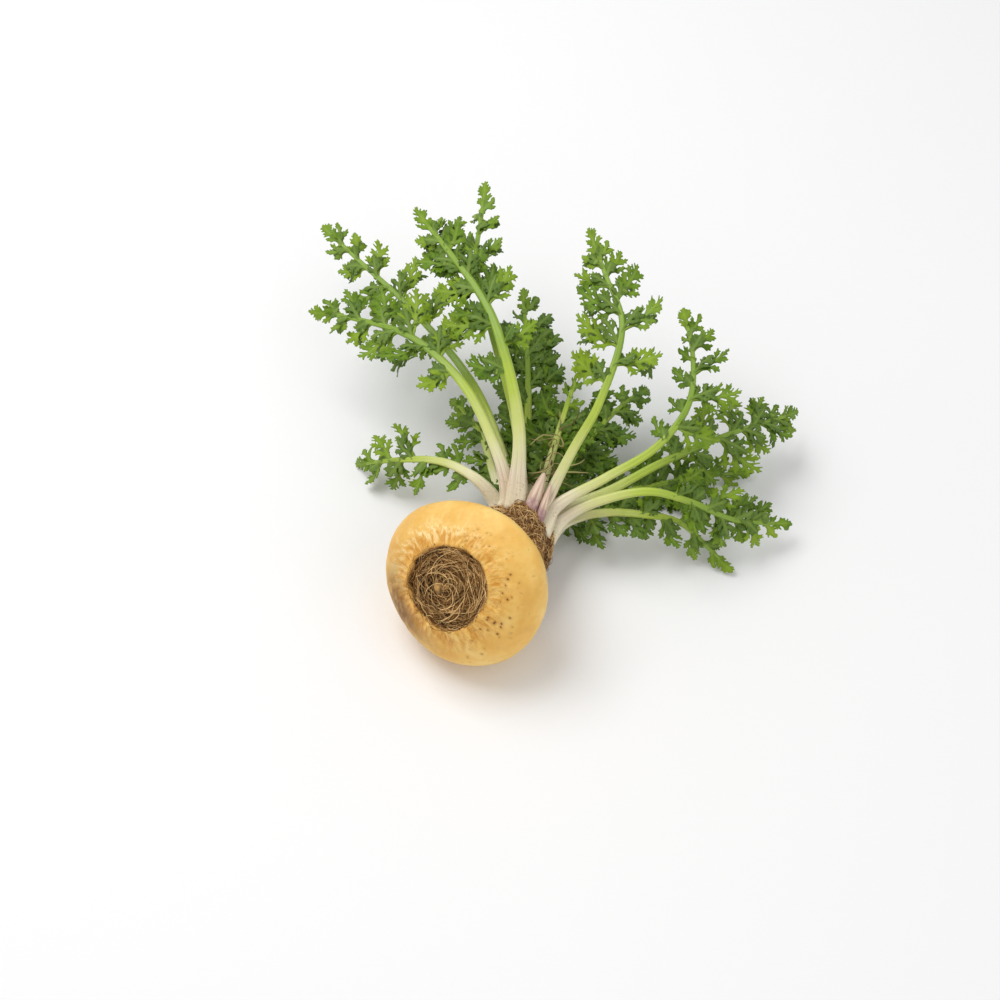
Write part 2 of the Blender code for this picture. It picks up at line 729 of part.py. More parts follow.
def make_shoots(material):
    """The young sheaths in the middle of the crown."""
    for number, shoot in enumerate(SHOOTS, 1):
        finish_mesh(closed_tube(f"shoot_{number:02d}", shoot_rings(shoot), material))


def main():
    """Builds every piece."""
    for thing in list(bpy.data.objects):
        bpy.data.objects.remove(thing)
    make_root(skin_material())
    make_scar_mat(rootlet_material())
    green = leaf_material()
    for number, leaf in enumerate(LEAVES, 1):
        make_leaf(number, leaf, green)
    make_shoots(sheath_material())
    feet = [foot_rings(leaf_stalk(leaf, HOLE_GAP)) for leaf in LEAVES]
    feet += [shoot_rings(shoot, HOLE_GAP) for shoot in SHOOTS]
    make_collar(feet, soil_material())


main()
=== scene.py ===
"""Looks of the maca root: skin, rootlets, soil, fibres and cut leaves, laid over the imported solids.
Lengths below are millimetres, times MM."""

import math
import random
from collections import namedtuple

import bpy
import numpy as np
from mathutils import Matrix, noise


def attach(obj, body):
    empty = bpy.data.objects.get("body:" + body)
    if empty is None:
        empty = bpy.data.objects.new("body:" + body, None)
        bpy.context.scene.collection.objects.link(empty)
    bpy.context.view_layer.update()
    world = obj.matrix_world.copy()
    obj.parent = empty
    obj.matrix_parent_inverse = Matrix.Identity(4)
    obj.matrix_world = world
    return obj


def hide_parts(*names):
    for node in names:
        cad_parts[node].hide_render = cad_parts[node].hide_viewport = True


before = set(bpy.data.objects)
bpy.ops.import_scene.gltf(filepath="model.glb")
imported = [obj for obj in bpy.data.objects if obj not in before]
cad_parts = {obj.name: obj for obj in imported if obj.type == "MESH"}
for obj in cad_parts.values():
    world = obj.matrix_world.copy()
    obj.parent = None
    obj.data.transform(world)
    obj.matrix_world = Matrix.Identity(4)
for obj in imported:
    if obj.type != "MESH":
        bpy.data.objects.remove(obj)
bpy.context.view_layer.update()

MM = 0.001
UP = np.array([0.0, 0.0, 1.0])
TURN = 2 * math.pi
GAP = 0.3

# The swollen root's form, as in the solids
ROOT_RADIUS = 26.0
ROOT_LENGTH = 37.0
ROOT_CENTRE = np.array([2.3, 3.2, 24.0])
ROOT_SQUARENESS = 1.82
ROOT_HEADING = math.radians(54.1)
ROOT_PITCH = math.radians(25.7)
ROOT_BEND = math.radians(38.0)
ROOT_SWELL = ((1, 0.017, 3.11), (2, 0.020, 4.15), (3, -0.033, 1.55))
PUCKER_DEPTH = 0.5
PUCKER_REACH = 6.0
PUCKER_WANDER = 1.5
PUCKERS = 9
DIMPLE_RADIUS = 13.3
DIMPLE_WALL = 3.0
WALL_DEPTH = 3.6
FLOOR_DEPTH = 2.4
SCAR_UP = 2.25
SCAR_ACROSS = -0.5
SHIFT_END = 23.0
SHIFT_FADE = 8.0
NECK_RADIUS = 10.5
NECK_SLOPE = 3.5
NECK_HEIGHT = 6.0

# The rootlet mat in the scar
MAT_RADIUS = 11.8
MAT_RIM = 0.7
MAT_THICKNESS = 1.9
MAT_SQUARENESS = 4
MAT_RIDGE = 0.45
MAT_RINGS = 3.5
MAT_RING_SHIFT = 0.8
MAT_GAP = GAP + 0.15
NUB_RADIUS = 3.2
NUB_HEIGHT = 1.5

# The collar of soil: how far out along the crown's axis, and the radius there
COLLAR_PROFILE = (
    (-1.2, 12.3), (1.8, 12.4), (4.8, 12.0), (7.6, 11.2), (10.4, 9.7), (13.0, 7.7), (14.0, 4.1), (14.4, 0.0),
)
COLLAR_LEAN = 0.05
COLLAR_LUMP = 0.06
COLLAR_WAVES = (2, 3, 5, 7)
COLLAR_TWIST = 0.4
COLLAR_SEED = 5
FLAP_ANGLE = math.radians(100)
FLAP_WIDTH = math.radians(20)
FLAP_REACH = 1.6
FLAP_OUT = 6.0
FLAP_LENGTH = 5.0

# Stalks and leaflets, as in the solids
STALK_WIDE = 3.1
STALK_DEEP = 2.5
STALK_END = 1.0
STALK_START = 2.2
PATH_POINTS = 201
LEAFLETS_END = 0.97
END_LEAFLET = 0.7
FACING = np.array([0.0, -0.57, 0.82])
LEAF_SEED = 11
FINE_SEED = 100
LOBE_SPACING = 5.4
MOST_LOBES = 3
FIRST_LOBE = 0.22
LOBE_SPAN = 0.56
LOBE_REACH = 0.34
LOBE_TAPER = 0.45
LOBE_VARIATION = (0.85, 1.15)
LEAFLET_BEND = 0.2
BEND_SHORTENING = 0.3
LEAFLET_TILT = 12
LEAFLET_TWIST = 25
LEAFLET_LIFT = 0.25
LEAFLET_CURL = (-0.3, 0.5)
END_OVERLAP = 1.0
CROWDING = 1.3
HUMP_BASE = 0.72
HUMP_PLACE = 1.2
END_SHORTENING = 0.4
OPENING_FOOT = 80
OPENING_LOSS = 35
OPENING_VARIATION = 7
LENGTH_VARIATION = (0.9, 1.1)

Leaf = namedtuple("Leaf", "foot route bare pairs left right roll")
LEAVES = (
    Leaf((-2.1, -7.9), ((10, 33, 21), (4, 38, 26), (-6, 45, 25), (-20, 53, 15), (-38, 61, 0)),
         0.50, 3, 15, 14, 0),
    Leaf((-6, -5.6), ((12, 36, 17), (9, 48, 17), (6, 61, 15), (0, 74, 12), (-7, 83, 8)),
         0.42, 4, 12, 11, 0),
    Leaf((2, -7.9), ((14, 31, 25), (11, 41, 33), (1, 61, 41), (-15, 80, 41), (-34, 93, 35), (-53, 101, 29)),
         0.45, 5, 17, 17, -8),
    Leaf((-0.6, -4.4),
         ((15, 36, 20), (11, 53, 24), (2, 75, 27), (-16, 101, 29), (-34, 122, 29), (-50, 141, 29)),
         0.52, 5, 14, 15, 0),
    Leaf((5.6, -6), ((16, 29, 27), (17, 45, 42), (13, 63, 53), (7, 80, 58), (-5, 101, 59), (-17, 122, 56)),
         0.38, 5, 18, 16, 0),
    Leaf((3.6, -2.6), ((18, 33, 23), (16, 54, 34), (9, 79, 45), (4, 103, 49), (6, 128, 50), (6, 138, 49)),
         0.55, 4, 13, 12, 35),
    Leaf((-3.6, -1.9), ((20, 36, 19), (20, 56, 23), (20, 81, 26), (19, 104, 27), (18, 116, 26)),
         0.33, 5, 13, 15, 0),
    Leaf((5, 1.4), ((25, 30, 25), (33, 41, 36), (41, 51, 47), (48, 72, 57), (43, 91, 60), (38, 112, 59)),
         0.48, 5, 18, 17, 0),
    Leaf((7, 4.9), ((28, 29, 24), (43, 34, 32), (58, 41, 38), (68, 54, 42), (70, 72, 44), (67, 94, 44)),
         0.50, 5, 9, 16, 10),
    Leaf((2.4, 3.9), ((30, 31, 19), (45, 36, 23), (60, 43, 27), (80, 54, 26), (94, 64, 20), (110, 74, 13)),
         0.50, 5, 16, 17, 0),
    Leaf((4, 7.6), ((31, 28, 20), (43, 29, 28), (56, 29, 32), (68, 29, 27), (83, 29, 17), (104, 35, 6)),
         0.52, 4, 14, 13, 0),
    Leaf((-0.3, 8.2), ((31, 30, 14), (43, 31, 18), (55, 31, 17), (66, 31, 13), (76, 26, 5), (84, 18, 0)),
         0.50, 3, 12, 11, 0),
    Leaf((-1.7, 1.9), ((25, 38, 17), (34, 52, 18), (42, 63, 18), (51, 74, 17), (62, 84, 14)),
         0.38, 4, 13, 15, 0),
    Leaf((1.3, -0.1), ((23, 36, 20), (27, 46, 27), (31, 59, 31), (36, 76, 32)), 0.50, 3, 8, 8, 0),
    Leaf((-4.6, 4.6), ((30, 36, 11), (45, 44, 8), (61, 50, 6), (78, 55, 4), (94, 58, 1)),
         0.37, 4, 14, 14, 0),
)
Shoot = namedtuple("Shoot", "foot tip size")
SHOOTS = (
    Shoot((8.2, -1.7), (24.7, 36.0, 32.0), 3.6),
    Shoot((8.4, 2.4), (26.6, 32.6, 30.6), 2.4),
)
SHOOT_WIDTHS = (1.0, 1.15, 1.1, 0.85, 0.4)
SHOOT_DEPTH = 0.85
SHOOT_MESH = (40, 28)


def unit(vector):
    """The vector at length one."""
    return vector / np.linalg.norm(vector)


def smooth_step(x):
    """0 below 0, 1 above 1 and a smooth S between them."""
    x = min(1.0, max(0.0, x))
    return x * x * (3 - 2 * x)


def bell(away, width):
    """1 at no distance, falling off over a width."""
    return math.exp(-((away / width) ** 2))


def ripple(point, size, seed=0.0):
    """Smooth noise, about -1 to 1, whose swells are the given size across."""
    return noise.noise((point[0] / size + seed, point[1] / size, point[2] / size))


def around(count):
    """Evenly spaced angles, all the way round."""
    return [TURN * j / count for j in range(count)]


def even_shares(count):
    """Evenly spaced shares, from 0 to 1."""
    return [i / (count - 1) for i in range(count)]


def flat_point(radius, angle):
    """The point of a flat plane at a radius and an angle."""
    return np.array([radius * math.cos(angle), radius * math.sin(angle), 0.0])


# The root's form


def root_axis(height):
    """Place, direction and upward normal of the root's bent axis at a height."""
    heading = np.array([math.cos(ROOT_HEADING), math.sin(ROOT_HEADING), 0.0])
    bend = ROOT_BEND / ROOT_LENGTH
    pitch = ROOT_PITCH + bend * height
    sideways = (math.sin(pitch) - math.sin(ROOT_PITCH)) / bend
    upwards = (math.cos(ROOT_PITCH) - math.cos(pitch)) / bend
    place = ROOT_CENTRE - heading * sideways + UP * upwards
    along = UP * math.sin(pitch) - heading * math.cos(pitch)
    normal = heading * math.sin(pitch) + UP * math.cos(pitch)
    return place, along, normal


ROOT_ACROSS = np.array([-math.sin(ROOT_HEADING), math.cos(ROOT_HEADING), 0.0])


def cap_height(radius, end):
    """Height of the skin at a radius, on the scar's end (1) or the crown's (-1)."""
    share = min(1.0, radius / ROOT_RADIUS)
    height = ROOT_LENGTH / 2 * (1 - share**ROOT_SQUARENESS) ** (1 / ROOT_SQUARENESS)
    if end > 0:
        wall = WALL_DEPTH * smooth_step((DIMPLE_RADIUS - radius) / DIMPLE_WALL)
        return height - wall - FLOOR_DEPTH * smooth_step(1 - radius / DIMPLE_RADIUS)
    return -height - NECK_HEIGHT * smooth_step((NECK_RADIUS - radius) / NECK_SLOPE)


def swell(angle, flank):
    """How far the flank stands out or in at an angle, as a share of its radius."""
    return 1 + sum(size * math.cos(count * angle - start) for count, size, start in ROOT_SWELL) * flank


def pucker(radius, angle):
    """Depth of the furrows that run into the scar's dimple."""
    near = smooth_step(1 - abs(radius - DIMPLE_RADIUS) / PUCKER_REACH)
    return PUCKER_DEPTH * near * math.cos(PUCKERS * angle + PUCKER_WANDER * math.sin(2 * angle))


def root_point(radius, angle, height):
    """The point at a radius, an angle and a height of the bent axis."""
    place, _, normal = root_axis(height)
    return place + radius * (math.cos(angle) * normal + math.sin(angle) * ROOT_ACROSS)


def scar_shift(radius):
    """How far the skin at a radius moves, to put the scar off the axis."""
    _, _, normal = root_axis(ROOT_LENGTH / 2)
    return (SCAR_UP * normal + SCAR_ACROSS * ROOT_ACROSS) * smooth_step((SHIFT_END - radius) / SHIFT_FADE)


def scar_point(radius, angle, height):
    """A point on the scar's end at a radius, an angle and a height of the axis."""
    flank = (radius / ROOT_RADIUS) ** (ROOT_SQUARENESS / 4)
    return root_point(radius * swell(angle, flank), angle, height) + scar_shift(radius)


def skin_point(radius, angle, end, lift=0.0):
    """A point over the skin, on the scar's end (1) or the crown's (-1)."""
    height = cap_height(radius, end) + lift
    if end > 0:
        return scar_point(radius, angle, height - pucker(radius, angle))
    flank = (radius / ROOT_RADIUS) ** (ROOT_SQUARENESS / 4)
    return root_point(radius * swell(angle, flank), angle, height)


CROWN, INWARDS, _ = root_axis(-ROOT_LENGTH / 2)
CROWN_OUT = -INWARDS
CROWN_UP = unit(FACING - FACING @ CROWN_OUT * CROWN_OUT)
CROWN_RIGHT = np.cross(CROWN_OUT, CROWN_UP)


def crown_point(up, right, out):
    """A point over the crown: up and right across its axis, and out along it."""
    return CROWN + up * CROWN_UP + right * CROWN_RIGHT + out * CROWN_OUT


# Meshes


class Cloud:
    """Points, with the named numbers that a paint reads at each."""

    def __init__(self):
        self.points = []
        self.values = {}

    def add(self, point, **values):
        """One more point."""
        self.points.append(point)
        for label, value in values.items():
            self.values.setdefault(label, []).append(value)


def add_object(name, data):
    """An object that shows the data."""
    made = bpy.data.objects.new(name, data)
    bpy.context.scene.collection.objects.link(made)
    return made


def add_piece(name, slot, points, faces, paints, values=None, kinds=None, replaced=None):
    """A smooth piece from points in millimetres, with named numbers at each point."""
    mesh = bpy.data.meshes.new(name)
    mesh.from_pydata((np.asarray(points, float) * MM).tolist(), [], faces)
    for material in paints:
        mesh.materials.append(material)
    if kinds:
        mesh.polygons.foreach_set("material_index", np.array(kinds, np.int32))
    for label, numbers in (values or {}).items():
        numbers = np.asarray(numbers, np.float32)
        kind, field = ("FLOAT", "value") if numbers.ndim == 1 else ("FLOAT_VECTOR", "vector")
        mesh.attributes.new(label, kind, "POINT").data.foreach_set(field, numbers.ravel())
    mesh.shade_smooth()
    mesh.update()
    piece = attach(add_object(name, mesh), "root")
    if replaced:
        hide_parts(replaced)


def add_strands(name, slot, strands, sides, paint):
    """A piece of many tubes, from the path, radii and tone of each."""
    paths, radii, tones = zip(*strands)
    points, faces = tube_mesh(np.array(paths), np.array(radii), sides)
    add_piece(name, slot, points, faces, [paint], {"tone": np.repeat(tones, len(points) // len(tones))})


def grid_faces(rows, columns, first=0):
    """Quads between rows of points, each row a closed ring."""
    faces = []
    for low in range(first, first + (rows - 1) * columns, columns):
        high = low + columns
        for j in range(columns):
            k = (j + 1) % columns
            faces.append((low + j, low + k, high + k, high + j))
    return faces


def tube_faces(rows, columns, first=0):
    """Quads between rings of points, and a cap on each end."""
    last = first + (rows - 1) * columns
    caps = [tuple(range(first, first + columns))[::-1], tuple(range(last, last + columns))]
    return grid_faces(rows, columns, first) + caps


def taper_ends(thick, steps):
    """Radii along a strand that thins toward both ends."""
    return [thick * (1 - 0.7 * abs(2 * share - 1) ** 3) for share in even_shares(steps)]


def lump_mesh(centres, sizes, chance):
    """Points and faces of small uneven crumbs, each an eight-sided lump."""
    axes = np.array([(1, 0, 0), (-1, 0, 0), (0, 1, 0), (0, -1, 0), (0, 0, 1), (0, 0, -1)], float)
    sides = ((0, 2, 4), (2, 1, 4), (1, 3, 4), (3, 0, 4), (2, 0, 5), (1, 2, 5), (3, 1, 5), (0, 3, 5))
    points, faces = [], []
    for centre, size in zip(centres, sizes):
        faces += [tuple(len(points) + i for i in side) for side in sides]
        points += [centre + axis * size * chance.uniform(0.5, 1.0) for axis in axes]
    return points, faces


def tube_mesh(paths, radii, sides):
    """Points and faces of tubes: paths (tubes, steps, 3) and radii (tubes, steps)."""
    count, steps, _ = paths.shape
    directions = np.gradient(paths, axis=1)
    directions /= np.linalg.norm(directions, axis=2, keepdims=True) + 1e-9
    guide = np.where(np.abs(directions[:, :1, 2:]) < 0.8, [[[0.0, 0.0, 1.0]]], [[[1.0, 0.0, 0.0]]])
    across = np.cross(directions, guide)
    across /= np.linalg.norm(across, axis=2, keepdims=True) + 1e-9
    front = np.cross(across, directions)
    angles = np.array(around(sides))[:, None]
    ring = np.cos(angles) * across[:, :, None, :] + np.sin(angles) * front[:, :, None, :]
    points = paths[:, :, None, :] + radii[:, :, None, None] * ring
    faces = []
    for tube in range(count):
        faces += tube_faces(steps, sides, tube * steps * sides)
    return points.reshape(-1, 3), faces


# Materials

SHADER_INPUTS = {
    "rough": "Roughness", "shine": "Specular IOR Level", "glow": "Subsurface Weight",
    "glow_colour": "Subsurface Radius", "glow_depth": "Subsurface Scale",
}


class Paint:
    """A Principled material, the colour laid on it so far and short ways to add nodes to it."""

    def __init__(self, name, **looks):
        self.material = bpy.data.materials.new(name)
        self.material.use_nodes = True
        self.tree = self.material.node_tree
        self.shader = self.tree.nodes["Principled BSDF"]
        for label, value in looks.items():
            self.shader.inputs[SHADER_INPUTS[label]].default_value = value
        self.place = self.node("ShaderNodeTexCoord", {}).outputs["Object"]
        self.colour = None

    def node(self, kind, inputs, **settings):
        """A node with its settings, and its inputs linked or set."""
        made = self.tree.nodes.new(kind)
        for label, value in settings.items():
            setattr(made, label, value)
        for label, value in inputs.items():
            socket = made.inputs[label]
            if isinstance(value, bpy.types.NodeSocket):
                self.tree.links.new(value, socket)
            else:
                socket.default_value = (*value, 1.0) if socket.type == "RGBA" else value
        return made

    def value(self, label, kind="Fac"):
        """The named number, or Vector, at each point of the mesh."""
        return self.node("ShaderNodeAttribute", {}, attribute_name=label).outputs[kind]

    def stretch(self, vector, scale):
        """The vector times a scale along each axis."""
        return self.node("ShaderNodeVectorMath", {0: vector, 1: scale}, operation="MULTIPLY").outputs[0]

    def noise(self, scale, detail=3.0, roughness=0.55, vector=None):
        """Noise from 0 to 1, over the place of each point in metres or another vector."""
        vector = self.place if vector is None else vector
        inputs = {"Vector": vector, "Scale": scale, "Detail": detail, "Roughness": roughness}
        return self.node("ShaderNodeTexNoise", inputs).outputs["Fac"]

    def cells(self, vector, scale):
        """Distance from the nearest of many points scattered over a plane."""
        inputs = {"Vector": vector, "Scale": scale}
        return self.node("ShaderNodeTexVoronoi", inputs, voronoi_dimensions="2D").outputs["Distance"]

    def ramp(self, factor, *stops):
        """Colours or greys along a factor: stops are (place, colour) or (place, grey)."""
        made = self.node("ShaderNodeValToRGB", {"Fac": factor})
        elements = made.color_ramp.elements
        while len(elements) < len(stops):
            elements.new(0.5)
        for element, (place, colour) in zip(elements, stops):
            element.position = place
            element.color = (*(colour if isinstance(colour, tuple) else (colour,) * 3), 1.0)
        return made.outputs["Color"]

    def maths(self, operation, first, second):
        """Two numbers combined."""
        return self.node("ShaderNodeMath", {0: first, 1: second}, operation=operation).outputs[0]

    def times(self, first, second):
        """Two numbers multiplied."""
        return self.maths("MULTIPLY", first, second)

    def plus(self, first, second):
        """Two numbers added."""
        return self.maths("ADD", first, second)

    def less(self, first, second, scale):
        """The difference of two numbers, times a scale."""
        return self.times(self.maths("SUBTRACT", first, second), scale)

    def lay(self, colour, share, more=None):
        """Lays a colour over the colour so far, as far as a share or the product of two allows."""
        inputs = {0: share if more is None else self.times(share, more), 6: self.colour, 7: colour}
        self.colour = self.node("ShaderNodeMix", inputs, data_type="RGBA").outputs[2]

    def finish(self, bump=None, strength=0.3, distance=0.0003, roughness=None):
        """Links colour, bump and roughness to the shader, and gives the material."""
        normal = None
        if bump is not None:
            inputs = {"Height": bump, "Strength": strength, "Distance": distance}
            normal = self.node("ShaderNodeBump", inputs).outputs["Normal"]
        for label, socket in (("Base Color", self.colour), ("Roughness", roughness), ("Normal", normal)):
            if socket is not None:
                self.tree.links.new(socket, self.shader.inputs[label])
        return self.material


def skin_paint():
    """Golden skin: clouds, ochre mottles round the scar, cream flutes with a painted highlight, a near-black
    rim into the scar that is partly painted shade, pores, stains and a smudge that is partly dirt and partly
    painted shade along one flank's edge.
    """
    glow = {"glow": 0.1, "glow_colour": (1.0, 0.5, 0.2), "glow_depth": 0.0012}
    paint = Paint("maca_skin", rough=0.48, shine=0.3, **glow)
    rim = paint.value("rim")
    paint.colour = paint.ramp(
        paint.noise(70, 4),
        (0.34, (0.77, 0.42, 0.085)), (0.5, (0.87, 0.53, 0.13)), (0.66, (0.92, 0.64, 0.21)),
    )
    paint.lay((0.78, 0.40, 0.06), paint.ramp(paint.noise(240, 4, 0.6), (0.5, 0.0), (0.72, 0.45)))
    mottle = paint.noise(1.0, 5, 0.66, paint.stretch(paint.value("polar", "Vector"), (14.0, 14.0, 9.0)))
    paint.lay((0.62, 0.26, 0.025), rim, paint.ramp(mottle, (0.40, 0.0), (0.62, 0.95)))
    # Cream streaks on the flutes by the scar, strongest on the lit side: partly the skin's own colour, partly
    # painted highlight
    paint.lay((0.95, 0.76, 0.40), paint.value("cream_flutes_and_highlight"), paint.ramp(mottle, (0.38, 0.85), (0.52, 0.0)))
    ragged = paint.noise(420, 4, 0.65)
    paint.lay((0.55, 0.22, 0.035), paint.value("stain"), paint.ramp(ragged, (0.38, 0.0), (0.60, 0.85)))
    # The skin darkens to near black into the scar's dimple: partly dark soil, partly painted shade in the
    # recess round the mat
    edge = paint.plus(paint.value("edge"), paint.less(ragged, 0.5, 1.8))
    paint.lay((0.42, 0.16, 0.02), paint.ramp(edge, (0.30, 0.0), (0.45, 0.7)))
    paint.lay((0.05, 0.021, 0.007), paint.ramp(edge, (0.52, 0.0), (0.66, 1.0)))
    uneven = paint.less(paint.noise(500, 3), 0.5, 0.35)
    holes = paint.plus(paint.cells(paint.value("flat", "Vector"), 0.42), uneven)
    spots = paint.times(paint.ramp(paint.noise(170, 2), (0.42, 0.0), (0.52, 1.0)), paint.value("spots"))
    paint.lay((0.50, 0.20, 0.02), spots, paint.ramp(holes, (0.12, 0.6), (0.42, 0.0)))
    paint.lay((0.14, 0.05, 0.01), spots, paint.ramp(holes, (0.07, 1.0), (0.17, 0.0)))
    # A brown band along one flank's edge: partly a smudge of dirt, partly painted shade darkening the skin
    # there
    dirt_and_shade_blots = paint.ramp(paint.noise(190, 5, 0.65), (0.34, 0.45), (0.50, 1.0))
    paint.lay((0.19, 0.07, 0.008), paint.value("dirt_and_shade"), dirt_and_shade_blots)
    relief = paint.plus(paint.times(mottle, rim), paint.times(paint.noise(700, 3), 0.22))
    return paint.finish(relief, 0.5, 0.0006, paint.ramp(paint.noise(260, 3), (0.35, 0.42), (0.65, 0.58)))


def mat_paint():
    """Dark soil and felted rootlets under the strands, with a tan nub near the middle."""
    paint = Paint("maca_scar_soil", rough=0.95)
    grain = paint.noise(800, 5, 0.65)
    paint.colour = paint.ramp(grain, (0.3, (0.004, 0.002, 0.001)), (0.7, (0.03, 0.013, 0.005)))
    light = paint.ramp(
        grain, (0.3, (0.04, 0.018, 0.006)), (0.55, (0.14, 0.07, 0.025)), (0.75, (0.30, 0.17, 0.07)),
    )
    paint.lay(light, paint.ramp(paint.noise(260, 3), (0.50, 0.0), (0.66, 1.0)))
    worn = paint.ramp(paint.noise(650, 4), (0.32, 0.3), (0.52, 1.0))
    paint.lay((0.80, 0.45, 0.14), paint.value("nub"), worn)
    return paint.finish(grain, 0.9, 0.0008)


def strand_paint(name, dark, middle, light):
    """Fine rootlets or fibres, each with its own tone."""
    paint = Paint(name, rough=0.8, shine=0.2)
    tone = paint.plus(paint.value("tone"), paint.less(paint.noise(600, 2), 0.5, 0.3))
    paint.colour = paint.ramp(tone, (0.05, dark), (0.4, middle), (0.9, light))
    return paint.finish()


def soil_paint():
    """Brown crumbly soil."""
    paint = Paint("maca_collar_soil", rough=0.95)
    grain = paint.noise(800, 5, 0.7)
    paint.colour = paint.ramp(
        grain, (0.34, (0.05, 0.022, 0.007)), (0.5, (0.24, 0.12, 0.04)), (0.68, (0.52, 0.31, 0.13)),
    )
    return paint.finish(grain, 1.0, 0.001)


def stalk_paint():
    """Leaf stalks: cream with a purple tinge at the foot, then yellow-green, then green."""
    paint = Paint("maca_leaf_stalk", rough=0.4)
    lines = paint.noise(1.0, 4, 0.6, paint.stretch(paint.value("round", "Vector"), (3.2, 3.2, 0.35)))
    wander = paint.plus(paint.less(lines, 0.5, 0.20), paint.less(paint.noise(130, 3), 0.5, 0.25))
    paint.colour = paint.ramp(
        paint.plus(paint.value("grown"), wander),
        (0.0, (0.82, 0.72, 0.52)), (0.2, (0.83, 0.79, 0.56)), (0.42, (0.63, 0.67, 0.23)),
        (0.65, (0.43, 0.55, 0.055)), (1.0, (0.23, 0.37, 0.03)),
    )
    paint.lay((0.50, 0.26, 0.30), paint.value("purple"), paint.ramp(lines, (0.42, 0.0), (0.66, 0.8)))
    grit = paint.ramp(paint.noise(1300, 5, 0.75), (0.54, 0.0), (0.70, 0.8))
    paint.lay((0.36, 0.22, 0.10), paint.value("soiled"), grit)
    return paint.finish(lines, 0.35, 0.0004)


def blade_paint():
    """Leaf blades: mid green above, lighter on outer leaves as painted light and darker on inner sheets as
    painted shade, with paler veins and a bluish bloom in places, duller beneath.
    """
    paint = Paint("maca_leaf_blade", rough=0.5, shine=0.17)
    tone = paint.plus(paint.times(paint.value("tone"), 0.55), paint.times(paint.noise(260, 4), 0.55))
    paint.colour = paint.ramp(
        tone, (0.15, (0.020, 0.055, 0.002)), (0.5, (0.10, 0.195, 0.007)), (0.85, (0.24, 0.36, 0.014)),
    )
    misty = paint.ramp(paint.noise(90, 2), (0.42, 0.0), (0.62, 0.6))
    paint.lay((0.12, 0.23, 0.07), paint.value("bloom"), misty)
    beneath = paint.ramp(tone, (0.2, (0.05, 0.11, 0.015)), (0.85, (0.16, 0.25, 0.045)))
    paint.lay(beneath, paint.value("under"))
    paint.lay((0.36, 0.50, 0.09), paint.value("vein"), 0.4)
    return paint.finish(paint.noise(1500, 3), 0.35, 0.0002)


def shoot_paint():
    """Young sheaths: dusky purple with tan stripes, darker at the foot."""
    paint = Paint("maca_young_sheath", rough=0.42)
    lines = paint.noise(1.0, 4, vector=paint.stretch(paint.value("round", "Vector"), (2.2, 2.2, 0.5)))
    paint.colour = paint.ramp(
        lines, (0.36, (0.50, 0.30, 0.25)), (0.5, (0.66, 0.50, 0.37)), (0.64, (0.77, 0.66, 0.47)),
    )
    dusky = paint.ramp(paint.noise(700, 4), (0.35, 0.3), (0.6, 1.0))
    paint.lay((0.33, 0.17, 0.19), paint.value("foot"), dusky)
    return paint.finish(lines, 0.5, 0.0005)


# The root

# Body mesh, the fluting, dents and swells of its skin, and where its markings lie: radius and width in
# millimetres, angle and width in degrees
BODY_RINGS = 90
BODY_SECTORS = 220
FLUTE_DEPTH = 0.42
FLUTES = 9.0
FLUTE_DRIFT = 0.16
FLUTE_BAND = (16.0, 4.5)
DENT_DEPTH = 0.22
DENT_SIZE = 2.6
SWELL_DEPTH = 0.26
SWELL_SIZE = 9.0
RAGGED_RIM = 0.55
RAGGED_REACH = 18
CROWN_REACH = 16
# Where the skin begins to darken: into the scar, partly as painted shade in its recess, and under the collar
SCAR_EDGE = 13.2
CROWN_EDGE = 14.4
STAIN_REACH = 20.0
PORE_REACH = (13.5, 24)
MOTTLE_BAND = (15.0, 3.6)
# Where the cream flutes lie: on the lit side of the scar, where they also carry a painted highlight
CREAM_HIGHLIGHT_BAND = (18.0, 4.0)
CREAM_HIGHLIGHT_ANGLE = (52, 60)
# Where the dirt and the painted shade lie along the flank's edge
DIRT_AND_SHADE_BAND = (19.0, 3.6)
DIRT_AND_SHADE_ANGLE = (138, 36)
PORE_ANGLE = (290, 75)


def band(value, spot):
    """1 at a band's middle, falling off over its width."""
    middle, width = spot
    return bell(value - middle, width)


def turn_band(angle, spot):
    """1 at the middle of a band of angles, falling off over its width."""
    middle, width = spot
    return bell((math.degrees(angle) - middle + 180) % 360 - 180, width)


def body_profile():
    """Radius and end of each ring of the body, close together where the skin turns."""
    turns = [math.pi / 2 * i / BODY_RINGS for i in range(1, BODY_RINGS + 1)]
    radii = [ROOT_RADIUS * math.sin(turn) ** (2 / ROOT_SQUARENESS) for turn in turns]
    return [(radius, -1) for radius in radii] + [(radius, 1) for radius in reversed(radii[:-1])]


def skin_push(point, radius, compass, end):
    """How far the fine skin stands out: fluting and dents by the scar, low swells all over."""
    spoke = np.array([compass[0] * FLUTES, compass[1] * FLUTES, radius * FLUTE_DRIFT])
    flute = noise.noise(spoke) + 0.5 * noise.noise(2.1 * spoke)
    near = band(radius, FLUTE_BAND) if end > 0 else 0.0
    push = FLUTE_DEPTH * near * flute + SWELL_DEPTH * ripple(point, SWELL_SIZE)
    push += DENT_DEPTH * (0.35 + 0.65 * near) * ripple(point, DENT_SIZE, 7.0)
    return 0.3 * push if end < 0 and radius < CROWN_REACH else push


